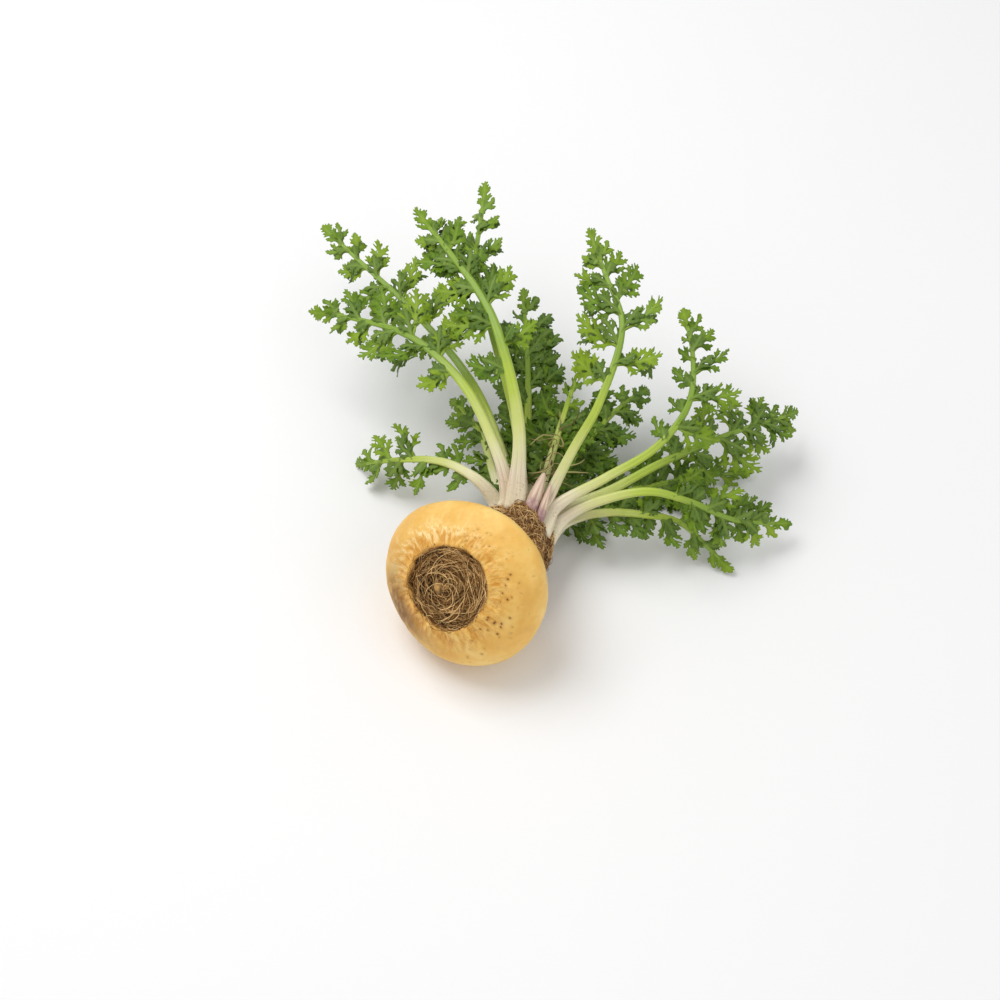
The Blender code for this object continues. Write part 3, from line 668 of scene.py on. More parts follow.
def skin_marks(radius, angle, end):
    """How strong each marking of the skin is at a radius and an angle."""
    dirt_and_shade = band(radius, DIRT_AND_SHADE_BAND) * turn_band(angle, DIRT_AND_SHADE_ANGLE)
    if end < 0:
        edge, stain = smooth_step((CROWN_EDGE - radius) / 2.0), smooth_step((STAIN_REACH - radius) / 5.0)
        return {"rim": 0.0, "cream_flutes_and_highlight": 0.0, "edge": edge, "stain": stain, "spots": 0.0, "dirt_and_shade": dirt_and_shade}
    pale = band(radius, CREAM_HIGHLIGHT_BAND) * turn_band(angle, CREAM_HIGHLIGHT_ANGLE)
    inner, outer = PORE_REACH
    pored = smooth_step((radius - inner) / 2) * smooth_step((outer - radius) / 5)
    return {
        "rim": band(radius, MOTTLE_BAND), "cream_flutes_and_highlight": pale, "edge": smooth_step((SCAR_EDGE - radius) / 2.0),
        "stain": 0.0, "spots": pored * max(0.12, turn_band(angle, PORE_ANGLE)), "dirt_and_shade": dirt_and_shade,
    }


def make_body():
    """The root's skin as a fine mesh."""
    skin = Cloud()

    def add(radius, angle, end):
        compass = flat_point(1.0, angle)
        ragged = RAGGED_RIM * ripple(compass * 14, 3.0) if end > 0 else 0.0
        ragged *= smooth_step((RAGGED_REACH - radius) / 4)
        point = skin_point(max(0.0, radius + ragged), angle, end)
        point = point + skin_push(point, radius, compass, end) * unit(point - ROOT_CENTRE)
        point[2] = max(0.0, point[2])
        polar = (compass[0], compass[1], radius / ROOT_RADIUS * end)
        skin.add(point, polar=polar, flat=compass * radius, **skin_marks(radius, angle, end))

    add(0.0, 0.0, -1)
    profile = body_profile()
    for radius, end in profile:
        for angle in around(BODY_SECTORS):
            add(radius, angle, end)
    add(0.0, 0.0, 1)
    faces = grid_faces(len(profile), BODY_SECTORS, 1)
    last = len(skin.points) - 1
    for j in range(BODY_SECTORS):
        k = (j + 1) % BODY_SECTORS
        faces += [(0, 1 + k, 1 + j), (last, last - BODY_SECTORS + j, last - BODY_SECTORS + k)]
    add_piece("root_skin", "root_skin", skin.points, faces, [skin_paint()], skin.values, replaced="root_body")


# The scar


# The mat's fine mesh and how rough it is, its nub's radius and angle, and the rootlets on it
MAT_MESH = (46, 160)
MAT_SINK = 0.9
RIM_DROP = 0.8
MAT_ROUGH = ((0.50, 1.7), (0.32, 0.7))
NUB_AT = (2.85, math.radians(123))
NUB_SPREAD = 1.6
NUB_RISE = 1.4
NUB_CLEAR = 1.7
ROOTLETS = 1400
ROOTLET_SEED = 21
COILED_SHARE = 0.62
SHORT_SHARE = 0.31
COILED_LENGTH = (4, 13)
SHORT_LENGTH = (1.5, 4.5)
LOOSE_LENGTH = (6, 15)
ROOTLET_STEPS = 10
ROOTLET_SIDES = 3
BARE_PATCH = 0.16
ROOTLET_LIMIT = 12.9
ROOTLET_SHY = 2.6
# Soil on the dimple's wall: its inner and outer radius, how ragged and lumpy it is
CRUST_RADII = (10.0, 12.0)
CRUST_MESH = (16, 260)
CRUST_RAGGED = 1.1
CRUST_LUMPS = 0.5
RIM_CRUST = 0.2


def mat_top(radius, angle):
    """Height of the rootlet mat's upper side."""
    share = min(1.0, radius / MAT_RADIUS)
    edge = math.sqrt(max(0.0, 1 - share**MAT_SQUARENESS))
    ridges = MAT_RIDGE * math.cos(TURN * MAT_RINGS * share + MAT_RING_SHIFT * math.sin(angle))
    nub = NUB_HEIGHT * bell(radius, NUB_RADIUS)
    floor = cap_height(radius, 1) - pucker(radius, angle) + MAT_GAP
    return floor + MAT_RIM + (MAT_THICKNESS + ridges) * edge + nub


def scar_top(radius, angle):
    """Height of the soil and rootlets in the scar, up to its rim."""
    inner = mat_top(min(radius, MAT_RADIUS), angle) - MAT_SINK
    skin = cap_height(radius, 1) - pucker(radius, angle) + RIM_CRUST
    return inner + (skin - inner) * smooth_step((radius - MAT_RADIUS + 1.0) / 2.0)


def ragged_rim(angle):
    """How far the soil's rim lies out of its mean circle."""
    spot = flat_point(CRUST_RADII[1], angle)
    return CRUST_RAGGED * (ripple(spot, 2.4) + 0.6 * ripple(spot, 0.9, 3.0))


def nub_share(radius, angle):
    """1 on the nub, falling off round it."""
    return bell(np.linalg.norm(flat_point(radius, angle) - flat_point(*NUB_AT)), NUB_SPREAD)


def make_mat():
    """The mat's surface, rough and dark, with a small nub off its middle."""
    rings, sectors = MAT_MESH
    mat = Cloud()

    def add(radius, angle):
        flat = flat_point(radius, angle)
        near = nub_share(radius, angle)
        rough = sum(size * ripple(flat, wide, wide) for size, wide in MAT_ROUGH)
        drop = RIM_DROP * smooth_step((radius - MAT_RADIUS) / RIM_DROP + 1)
        height = scar_top(radius, angle) + rough * (1 - 0.5 * near) - drop + NUB_RISE * near
        mat.add(scar_point(radius, angle, height), nub=near)

    add(0.0, 0.0)
    for i in range(1, rings + 1):
        for angle in around(sectors):
            add(MAT_RADIUS * i / rings, angle)
    for radius in (MAT_RADIUS, 0.3 * MAT_RADIUS):
        for angle in around(sectors):
            mat.add(skin_point(radius, angle, 1, 0.1), nub=0.0)
    faces = [(0, 1 + j, 1 + (j + 1) % sectors) for j in range(sectors)]
    faces += grid_faces(rings + 2, sectors, 1)
    faces.append(tuple(range(len(mat.points) - sectors, len(mat.points))))
    add_piece("scar_soil", "rootlet_mat", mat.points, faces, [mat_paint()], mat.values, replaced="root_scar")


def make_crust():
    """Soil on the dimple's wall, from the mat up to a ragged rim."""
    rows, sectors = CRUST_MESH
    inner, outer = CRUST_RADII
    crust = Cloud()
    for share in even_shares(rows):
        for angle in around(sectors):
            radius = inner + (outer + ragged_rim(angle) - inner) * share
            spot = flat_point(radius, angle)
            lumps = CRUST_LUMPS * (ripple(spot, 1.5, 5.0) + 0.6 * ripple(spot, 0.6, 9.0))
            sunk = 0.5 * smooth_step((share - 0.8) / 0.2) + 0.5 * smooth_step((0.2 - share) / 0.2)
            height = scar_top(radius, angle) + lumps * (1 - 0.6 * share) - sunk
            crust.add(scar_point(radius, angle, height), nub=0.0)
    for radius in (outer - 0.3, inner + 0.3):
        for angle in around(sectors):
            crust.add(skin_point(radius, angle, 1, -0.8), nub=0.0)
    faces = grid_faces(rows + 2, sectors)
    last = (rows + 1) * sectors
    faces += [(last + j, last + (j + 1) % sectors, (j + 1) % sectors, j) for j in range(sectors)]
    add_piece("scar_crust", "rootlet_mat", crust.points, faces, [mat_paint()], crust.values)


def over_nub(radius, angle):
    """Whether a place in the scar is on its bare nub."""
    return nub_share(radius, angle) > bell(NUB_CLEAR, NUB_SPREAD)


def over_gap(radius, angle):
    """Whether a place in the scar is one of its bare dark patches."""
    return ripple(flat_point(radius, angle), 3.2, 2.0) > BARE_PATCH


def rootlet_path(start, angle, length, slant, wander, lift, arch, sign, limit):
    """A rootlet's path over the mat: it coils, drifts in or out and arches up."""
    radius, path = start, []
    step = length / (ROOTLET_STEPS - 1)
    for t in even_shares(ROOTLET_STEPS):
        sway = 0.25 * ripple((angle * radius, radius, 9 * t + start), 1.3)
        height = scar_top(radius, angle) + lift + arch * math.sin(math.pi * t)
        path.append(scar_point(max(0.1, radius + sway), angle, height + sway))
        radius = max(0.4, min(limit + ragged_rim(angle), radius + step * math.sin(slant)))
        angle += sign * step * math.cos(slant) / max(radius, 1.0)
        slant += wander
    return path


def make_rootlets():
    """Fine rootlets coiled round the scar, with ragged ends over its rim."""
    chance = random.Random(ROOTLET_SEED)
    vary = chance.uniform
    strands = []
    while len(strands) < ROOTLETS:
        start = 0.8 + (MAT_RADIUS + 0.8) * chance.random() ** 0.55
        angle = vary(0, TURN)
        kind = chance.random()
        if kind < COILED_SHARE:
            length, slant, lift = vary(*COILED_LENGTH), chance.gauss(0, 0.22), vary(-0.2, 0.5)
            thick = 0.06 + 0.07 * chance.random() ** 2
        elif kind < COILED_SHARE + SHORT_SHARE:
            length, slant, lift = vary(*SHORT_LENGTH), vary(-1.5, 1.5), vary(-0.2, 0.6)
            thick = 0.05 + 0.06 * chance.random() ** 2
        else:
            length, slant, lift = vary(*LOOSE_LENGTH), vary(-0.9, 0.9), vary(0.5, 1.0)
            thick = 0.07 + 0.06 * chance.random()
        wander, arch, sign = vary(-0.14, 0.14), vary(0.0, 0.5), chance.choice((-1, 1))
        along = [angle + sign * length * t / start for t in (0, 0.25, 0.5, 0.75, 1)]
        if any(over_nub(start, at) for at in along):
            continue
        if start > 5 and chance.random() < 0.93 and any(over_gap(start, at) for at in along[::2]):
            continue
        limit = ROOTLET_LIMIT - ROOTLET_SHY * chance.random()
        path = rootlet_path(min(start, limit), angle, length, slant, wander, lift, arch, sign, limit)
        tone = min(1.0, 0.9 * chance.random() ** 1.4 + 0.5 * max(0.0, lift) * chance.random())
        strands.append((path, taper_ends(thick, ROOTLET_STEPS), tone))
    paint = strand_paint("maca_rootlets", (0.045, 0.018, 0.005), (0.40, 0.19, 0.05), (0.93, 0.62, 0.27))
    add_strands("scar_rootlets", "rootlet_mat", strands, ROOTLET_SIDES, paint)


# The collar


# The collar's fine mesh and how far out its last rows lie, its rags, and the fibres and crumbs on it
COLLAR_MESH = (46, 150)
COLLAR_SIDE = 13.0
COLLAR_TOP = (13.3, 13.6, 13.9, 14.1, 14.25)
COLLAR_ROUGH = ((0.45, 2.2), (0.35, 0.9))
COLLAR_SINK = 0.35
COLLAR_MEAN = 11.0
FLAP_RAGS = 0.5
FIBRES = 2900
FIBRE_SEED = 33
FIBRE_STEPS = 5
FIBRE_SIDES = 3
FIBRE_LENGTH = (1.2, 4.2)
FIBRE_START = (-1.2, 13.6)
FIBRE_SPAN = (-1.7, 14.3)
FIBRE_WANDER = 0.35
CRUMBS = 900
CRUMB_SEED = 57
SKIN_CRUMB = (0.08, 0.22)
SCAR_CRUMB = (0.15, 0.4)
COLLAR_CRUMB = (0.15, 0.5)
CRUMB_START = (-1.0, 14.0)
CRUMB_RADII = (13.2, 2.6)


def collar_waves():
    """The long waves of the collar's flank."""
    chance = random.Random(COLLAR_SEED)
    return [(count, chance.uniform(0.4, 1.0), chance.uniform(0, TURN)) for count in COLLAR_WAVES]


WAVES = collar_waves()


def collar_point(angle, out, extra=0.0):
    """A point of the collar's surface, raised by a little; the flap's edge is ragged."""
    outs, radii = zip(*COLLAR_PROFILE)
    radius = float(np.interp(out, outs, radii))
    lump = sum(size * math.sin(count * angle + start + COLLAR_TWIST * out) for count, size, start in WAVES)
    turn = (angle - FLAP_ANGLE) / FLAP_WIDTH
    ragged = 1 + FLAP_RAGS * noise.noise((angle * 11, out * 0.9, 0.0))
    flap = FLAP_REACH * ragged * math.exp(-turn * turn) * smooth_step(1 - abs(out - FLAP_OUT) / FLAP_LENGTH)
    reach = radius * (1 + COLLAR_LUMP * lump) + flap + extra
    right = reach * math.sin(angle) + COLLAR_LEAN * out
    return crown_point(reach * math.cos(angle), right, out)


def make_collar():
    """The soil round the crown."""
    rows, sectors = COLLAR_MESH
    outs = [*np.linspace(COLLAR_PROFILE[0][0], COLLAR_SIDE, rows), *COLLAR_TOP]
    points = []
    for out in outs:
        for angle in around(sectors):
            spot = collar_point(angle, out)
            rough = sum(size * ripple(spot, wide, wide) for size, wide in COLLAR_ROUGH)
            points.append(collar_point(angle, out, rough - COLLAR_SINK))
    faces = tube_faces(len(outs), sectors)
    add_piece("collar_soil", "collar_soil", points, faces, [soil_paint()], replaced="crown_collar")


def make_collar_fibres():
    """Old fibres and hair roots lying over the soil."""
    chance = random.Random(FIBRE_SEED)
    vary = chance.uniform
    strands = []
    for _ in range(FIBRES):
        angle, out = vary(0, TURN), vary(*FIBRE_START)
        length, way, wander = vary(*FIBRE_LENGTH), vary(0, TURN), vary(-FIBRE_WANDER, FIBRE_WANDER)
        lift, arch = vary(-0.25, 0.25), 0.8 * chance.random() ** 2
        step = length / (FIBRE_STEPS - 1)
        path = []
        for t in even_shares(FIBRE_STEPS):
            rise = lift + arch * math.sin(math.pi * t) + 0.3 * ripple((angle * 9, out, t), 1.0)
            path.append(collar_point(angle, out, rise))
            angle += step * math.cos(way) / COLLAR_MEAN
            out = max(FIBRE_SPAN[0], min(FIBRE_SPAN[1], out + step * math.sin(way)))
            way += wander
        radii = taper_ends(0.05 + 0.08 * chance.random() ** 2, FIBRE_STEPS)
        strands.append((path, radii, min(1.0, chance.random() ** 1.2 * (0.7 + arch))))
    paint = strand_paint("maca_collar_fibre", (0.10, 0.045, 0.012), (0.62, 0.34, 0.12), (0.95, 0.67, 0.32))
    add_strands("collar_fibres", "collar_soil", strands, FIBRE_SIDES, paint)


def make_crumbs():
    """Crumbs of soil on the collar, on the skin under it and on the scar."""
    chance = random.Random(CRUMB_SEED)
    vary = chance.uniform
    centres, sizes = [], []
    for i in range(CRUMBS):
        angle = vary(0, TURN)
        if i % 5 == 0:
            centres.append(skin_point(CRUMB_RADII[0] + CRUMB_RADII[1] * chance.random() ** 2, angle, -1))
            sizes.append(vary(*SKIN_CRUMB))
        elif i % 5 == 1:
            radius = (MAT_RADIUS + 1.6) * chance.random() ** 0.4
            centres.append(scar_point(radius, angle, scar_top(radius, angle) + vary(-0.1, 0.3)))
            sizes.append(vary(*SCAR_CRUMB))
        else:
            centres.append(collar_point(angle, vary(*CRUMB_START), vary(-0.2, 0.3)))
            sizes.append(vary(*COLLAR_CRUMB))
    add_piece("soil_crumbs", "collar_soil", *lump_mesh(centres, sizes, chance), [soil_paint()])


# Stalks


def path_points(points, count):
    """Evenly spaced points and directions of a smooth curve through the given points."""
    points = np.array(points, float)
    marks = lengths_along(points)
    steps = np.diff(marks)
    slopes = np.empty_like(points)
    slopes[1:-1] = (points[2:] - points[:-2]) / (marks[2:] - marks[:-2])[:, None]
    slopes[0] = (points[1] - points[0]) / steps[0]
    slopes[-1] = (points[-1] - points[-2]) / steps[-1]
    places = []
    for mark in np.linspace(0, marks[-1], count):
        i = min(int(np.searchsorted(marks, mark, side="right")) - 1, len(steps) - 1)
        t = (mark - marks[i]) / steps[i]
        keep, move = 2 * t**3 - 3 * t**2 + 1, 3 * t**2 - 2 * t**3
        start, end = t**3 - 2 * t**2 + t, t**3 - t**2
        place = keep * points[i] + move * points[i + 1]
        places.append(place + steps[i] * (start * slopes[i] + end * slopes[i + 1]))
    places = np.array(places)
    directions = np.gradient(places, axis=0)
    return places, directions / np.linalg.norm(directions, axis=1)[:, None]


def stalk_line(foot, route):
    """The points that a stalk passes, from just over the neck."""
    return [crown_point(*foot, NECK_HEIGHT + STALK_START)] + [np.array(point, float) for point in route]


def lengths_along(places):
    """How far each point of a line lies along it."""
    return np.concatenate([[0], np.cumsum(np.linalg.norm(np.diff(places, axis=0), axis=1))])


def end_share(leaf, grown):
    """The share of a leaf's line that its stalk takes, short of the leaflet at its end."""
    return 1 - END_LEAFLET * max(leaf.left, leaf.right) / grown[-1]


STALK_SIDES = 16
STALK_RINGS = 70
STALK_FULLER = 1.14
FINE_TAPER = 1.1
# Leaves whose stalk is stouter than the others'
STOUT_STALKS = {3: 1.1, 5: 1.26}
FOOT_FLARE = 0.55
FLARE_LENGTH = 11.0
# The groove along a stalk: its depth as a share of the stalk's, and its half-width in radians
GROOVE_DEPTH = 0.30
GROOVE_WIDTH = 0.42
# Along a stalk: where its colour is fully green, where it is purple and how widely, where its soil fades
GROWN = 60.0
PURPLE_BAND = (11.0, 6.0)
SOILED_END = 14.0
SOILED_FADE = 8.0


def stalk_mesh(leaf, places, directions, grown, purple, fuller):
    """Points, faces and values of a grooved stalk that widens to a flat foot."""
    picks = np.linspace(0, end_share(leaf, grown) * (PATH_POINTS - 1), STALK_RINGS)
    index = np.arange(PATH_POINTS)
    stalk = Cloud()
    for share, pick in zip(even_shares(STALK_RINGS), picks):
        place = np.array([np.interp(pick, index, places[:, axis]) for axis in range(3)])
        direction = unit(np.array([np.interp(pick, index, directions[:, axis]) for axis in range(3)]))
        far = float(np.interp(pick, index, grown))
        taper = share**FINE_TAPER
        flare = 1 + FOOT_FLARE * bell(far, FLARE_LENGTH)
        across = unit(np.cross(direction, FACING))
        front = np.cross(across, direction)
        across = across * (STALK_WIDE + (STALK_END - STALK_WIDE) * taper) * fuller * flare / 2
        front = front * (STALK_DEEP + (STALK_END - STALK_DEEP) * taper) * fuller / 2
        tinge = purple * band(far, PURPLE_BAND)
        soiled = smooth_step((SOILED_END - far) / SOILED_FADE)
        for angle in around(STALK_SIDES):
            groove = GROOVE_DEPTH * bell(angle - math.pi / 2, GROOVE_WIDTH)
            reach = 1 - groove + 0.04 * math.cos(5 * angle + 1.0) + 0.03 * math.cos(3 * angle + far / 9)
            point = place + reach * (math.cos(angle) * across + math.sin(angle) * front)
            spin = (math.cos(angle), math.sin(angle), far / 10.0)
            stalk.add(point, grown=far / GROWN, round=spin, purple=tinge, soiled=soiled)
    return np.array(stalk.points), tube_faces(STALK_RINGS, STALK_SIDES), stalk.values


# Leaflets

# A leaflet's outline is a blend of tapered fingers on a fine grid. Half-widths are millimetres at full size.
CELL = 0.382
INNER_CELL = 0.46
FINGER_BLEND = 0.30
LEAFLET_SIZE = (0.62, 0.34, 15.0)
STEM_WIDTH = 0.42
STEM_FLARE = (1.6, 0.95)
RIB_WIDTH = 0.60
LOBE_WIDTHS = (0.60, 0.60, 0.24)
TOOTH_WIDTHS = (0.48, 0.20)
# Teeth of a lobe: place along it, side (1 faces the leaflet's foot) and length as a share of the lobe's
LONG_TEETH = ((0.36, 1, 0.30), (0.50, -1, 0.32), (0.66, 1, 0.26), (0.76, -1, 0.20))
SHORT_TEETH = ((0.46, 1, 0.36), (0.60, -1, 0.34))
LONG_LOBE = 3.6
TOOTH_ANGLE = (38, 54)
# Teeth of a leaflet's end: place along it, angle in degrees and length as a share of the leaflet's
END_TEETH = ((0.66, 48, 0.20), (0.72, -46, 0.19), (0.79, 44, 0.15), (0.84, -42, 0.13), (0.90, 38, 0.09))
Finger = namedtuple("Finger", "start end wide narrow vein")


def turned(first, second, angle):
    """Two directions turned by an angle in their own plane."""
    cosine, sine = math.cos(angle), math.sin(angle)
    return first * cosine + second * sine, second * cosine - first * sine


def leaf_plan(leaf, chance):
    """Where each leaflet grows: the share of the stalk, its side, length and opening angle."""
    plan = []
    count = 2 * leaf.pairs
    for i in range(count):
        step = (i + 0.5) / count
        side = 1 if i % 2 else -1
        share = leaf.bare + (LEAFLETS_END - leaf.bare) * (1 - (1 - step) ** CROWDING)
        hump = HUMP_BASE + (1 - HUMP_BASE) * math.sin(math.pi * min(1, HUMP_PLACE * step))
        hump *= 1 - END_SHORTENING * step**2
        length = (leaf.right if side > 0 else leaf.left) * hump * chance.uniform(*LENGTH_VARIATION)
        turn = OPENING_FOOT - OPENING_LOSS * step + chance.uniform(-OPENING_VARIATION, OPENING_VARIATION)
        plan.append((share, side, length, math.radians(turn)))
    plan.append((LEAFLETS_END, 0, END_LEAFLET * max(leaf.left, leaf.right), 0.0))
    return plan


def leaflet_frame(place, way, side, opening, roll, chance):
    """Where a leaflet starts, and its directions along the rib, to the right and outward."""
    across = unit(np.cross(way, FACING))
    tilt = math.radians(roll + chance.uniform(-LEAFLET_TILT, LEAFLET_TILT))
    across, front = turned(across, np.cross(across, way), tilt)
    along, sideways = turned(way, across, side * opening)
    twist = math.radians(chance.uniform(-LEAFLET_TWIST, LEAFLET_TWIST))
    sideways, front = turned(sideways, front, twist)
    start = place if side else place - END_OVERLAP * way
    return start, along, sideways, front


def rotated(vector, degrees):
    """A flat vector turned by an angle."""
    turn = math.radians(degrees)
    x, y = vector
    return np.array([x * math.cos(turn) - y * math.sin(turn), x * math.sin(turn) + y * math.cos(turn)])


def lobe_fingers(start, tip, size, own):
    """A lobe's rib, a little bowed, and its blunt teeth."""
    along = tip - start
    reach = np.linalg.norm(along)
    side = 1 if tip[1] > 0 else -1
    knee = start + 0.6 * along + rotated(along, -side * 90) * 0.05
    foot, middle, end = (size * width for width in LOBE_WIDTHS)
    fingers = [Finger(start, knee, foot, middle, 0.24), Finger(knee, tip, middle, end, 0.18)]
    for place, turn, share in LONG_TEETH if reach > LONG_LOBE else SHORT_TEETH:
        long = max(reach * share * own.uniform(0.8, 1.2), 0.9 * size)
        root = start + place * along
        way = rotated(along / reach, turn * side * own.uniform(*TOOTH_ANGLE))
        fingers.append(Finger(root, root + way * long, TOOTH_WIDTHS[0] * size, TOOTH_WIDTHS[1] * size, 0.14))
    return fingers


def leaflet_fingers(length, reaches, own):
    """The tapered fingers that make a leaflet: its rib, its lobes and its toothed end."""
    least, growth, full = LEAFLET_SIZE
    size = least + growth * length / full
    rib, (tooth, blunt) = RIB_WIDTH * size, (width * size for width in TOOTH_WIDTHS)
    along, millimetre = np.array([length, 0.0]), np.array([1.0, 0.0])
    bare, far = FIRST_LOBE * along, 0.8 * along
    fingers = [
        Finger(-0.4 * millimetre, STEM_FLARE[0] * millimetre, STEM_FLARE[1], STEM_WIDTH, 0.6),
        Finger(0 * along, bare, STEM_WIDTH, STEM_WIDTH, 0.6),
        Finger(bare, far, rib, rib, 0.42),
        Finger(far, along * (1 - blunt / length), rib, blunt, 0.3),
    ]
    for i, pair in enumerate(reaches):
        low = FIRST_LOBE + LOBE_SPAN * i / len(reaches)
        middle = FIRST_LOBE + LOBE_SPAN * (i + 0.5) / len(reaches)
        for side, reach in zip((-1, 1), pair):
            shift = 0.035 * side + own.uniform(-0.02, 0.02)
            start = (low - 0.02 + shift) * along
            end = (middle + own.uniform(0.12, 0.18) + shift) * along + np.array([0.0, side * reach])
            fingers += lobe_fingers(start, end, size, own)
    for place, turn, share in END_TEETH:
        reach = rotated(along, turn) * share * own.uniform(0.85, 1.15)
        fingers.append(Finger(place * along, place * along + reach, tooth, blunt, 0.16))
    return fingers


def leaflet_field(u, v, fingers):
    """How far each flat point lies outside the leaflet, and its nearness to a vein."""
    outside, vein = np.full_like(u, 9.0), np.zeros_like(u)
    for finger in fingers:
        du, dv = finger.end - finger.start
        t = np.clip(((u - finger.start[0]) * du + (v - finger.start[1]) * dv) / (du * du + dv * dv), 0, 1)
        away = np.hypot(u - finger.start[0] - t * du, v - finger.start[1] - t * dv)
        vein = np.maximum(vein, np.exp(-((away / finger.vein) ** 2)) * min(1.0, 2.2 * finger.vein))
        away = away - finger.wide - (finger.narrow - finger.wide) * t
        blend = np.clip(0.5 + (outside - away) / FINGER_BLEND / 2, 0, 1)
        outside = outside * (1 - blend) + away * blend - FINGER_BLEND * blend * (1 - blend)
    return outside, vein


def leaflet_sheet(length, fingers, cell):
    """Flat points, vein nearness and faces of a leaflet, cut from a grid along its outline."""
    half = 0.5 * length + 1.5
    grid = np.meshgrid(np.arange(-0.8, length + 1.0, cell), np.arange(-half, half, cell), indexing="ij")
    outside, vein = leaflet_field(*grid, fingers)
    inside = outside < 0
    rows = np.argwhere(inside[:-1, :-1] | inside[1:, :-1] | inside[:-1, 1:] | inside[1:, 1:])
    columns = np.stack([*grid, vein], axis=-1)
    points, found, faces = [], {}, []

    def corner(a):
        if a not in found:
            found[a] = len(points)
            points.append(columns[a])
        return found[a]

    def crossing(a, b):
        key = (a, b) if a < b else (b, a)
        if key not in found:
            near, far = key
            share = np.clip(outside[near] / (outside[near] - outside[far]), 0.1, 0.9)
            found[key] = len(points)
            points.append(columns[near] * (1 - share) + columns[far] * share)
        return found[key]

    for i, j in rows.tolist():
        corners = ((i, j), (i + 1, j), (i + 1, j + 1), (i, j + 1))
        face = []
        for a, b in zip(corners, corners[1:] + corners[:1]):
            if inside[a]:
                face.append(corner(a))
            if inside[a] != inside[b]:
                face.append(crossing(a, b))
        faces.append(tuple(face))
    points = np.array(points)
    return points[:, :2], points[:, 2], faces


# How much a sheet is ruffled, and its half-thickness, on a vein and at its stem
RUFFLE = 1.5
RUFFLE_SIZE = 3.2
SHEET_THICK = 0.12
VEIN_THICK = 0.15
STEM_THICK = 0.26
# Below this height a sheet bends to lie this far over the floor
LIE_HEIGHT = 1.8
LIE_GAP = 0.2


def leaflet_mesh(length, spot, bend, lift, curl, reaches, own, cell):
    """Points, faces and values of a leaflet: its sheet set in space, with two sides."""
    flat, vein, faces = leaflet_sheet(length, leaflet_fingers(length, reaches, own), cell)
    root, along, side, front = spot
    u, v = flat[:, 0], flat[:, 1]
    share = u / length
    seed = own.uniform(0, 50)
    rise = (lift * share**2 + curl * (v / length) ** 2) * length
    waves = np.array([noise.noise((a / RUFFLE_SIZE + seed, b / RUFFLE_SIZE, 0.0)) for a, b in flat.tolist()])
    rise += RUFFLE * waves * np.clip(np.abs(v) / (0.22 * length) + 0.25 * share, 0, 1.2)
    ahead = u * (1 - BEND_SHORTENING * (bend * share) ** 2)
    aside = v + bend * share**2 * length
    places = root + ahead[:, None] * along + aside[:, None] * side + rise[:, None] * front
    stem = np.clip(1 - share / FIRST_LOBE, 0, 1)
    thick = (SHEET_THICK + VEIN_THICK * vein + STEM_THICK * stem)[:, None] * front
    points = np.concatenate([places + 0.8 * thick, places - 1.2 * thick])
    low = np.minimum(points[:, 2], LIE_HEIGHT)
    room = LIE_HEIGHT - LIE_GAP
    points[:, 2] += LIE_GAP + room * np.exp((low - LIE_HEIGHT) / room) - low
    count = len(flat)
    edges = {(a, b) for face in faces for a, b in zip(face, face[1:] + face[:1])}
    rim = [(b, a, count + a, count + b) for a, b in sorted(edges) if (b, a) not in edges]
    both = faces + [tuple(count + i for i in reversed(face)) for face in faces] + rim
    return points, both, {"vein": np.tile(np.maximum(vein, stem), 2), "under": np.repeat([0.0, 1.0], count)}


# Smaller sheets on the leaflets' ribs: all leaves have the first, the crowded ones two, the densest all three
CROWDED = (3, 4, 5, 6, 7, 8, 10, 13, 14)
TIER_LENGTH = 0.60
TIER_LEAST = 7.0
TIER_REACH = 0.36
# Each tier: where it starts on the leaflet's rib, how it leans to the stalk's end and out of the leaf's face
TIERS = ((0.0, 0.75, 0.55), (0.30, 0.45, -0.60), (0.45, 0.15, 0.70))
DENSEST = (7,)
# How much narrower the leaflet at a leaf's end is, and on which leaf it is longer
END_NARROWING = 0.65
END_STRETCH = {6: 1.35}
# How much more purple these leaves' stalks are near the foot
MORE_PURPLE = {2: 0.2, 3: 0.2, 8: 0.8, 9: 0.3}
# How much lighter or darker than the rest these leaves are: painted light on the outer leaves, painted shade
# on the inner ones
LEAF_LIGHT_AND_SHADE = {1: 0.10, 3: 0.14, 4: 0.14, 6: 0.10, 8: 0.14, 7: -0.05, 13: -0.05, 14: -0.05, 15: -0.05}
# Leaves with small leaflets low on the stalk as well: where these begin and end, how many and how long
LOW_LEAFLETS = {
    1: (0.30, 0.48, 5, 7.0), 2: (0.24, 0.40, 5, 8.5), 5: (0.60, 0.94, 8, 10.5), 7: (0.13, 0.82, 16, 12.0),
    11: (0.60, 0.90, 7, 9.5), 12: (0.24, 0.60, 8, 10.0), 13: (0.15, 0.80, 15, 12.0),
    14: (0.15, 0.72, 14, 11.5), 15: (0.17, 0.78, 13, 11.5),
}
LOW_OPENING = (40, 95)
LOW_SINK = 1.3
# The darkest tone of a leaflet and the span of its tones: of the outer ones, and of the low and small ones,
# which are darker as painted shade inside the foliage
OUTER_TONES = (0.28, 0.60)
SHADED_INNER_TONES = (0.10, 0.42)


def low_plan(number, own):
    """Small leaflets low on a stalk, with the same numbers as in leaf_plan."""
    if number not in LOW_LEAFLETS:
        return []
    first, last, count, long = LOW_LEAFLETS[number]
    plan = []
    for i in range(count):
        share = first + (last - first) * (i + 0.5) / count
        opening = math.radians(own.uniform(*LOW_OPENING))
        plan.append((share, 1 if i % 2 else -1, long * own.uniform(0.8, 1.2), opening))
    return plan


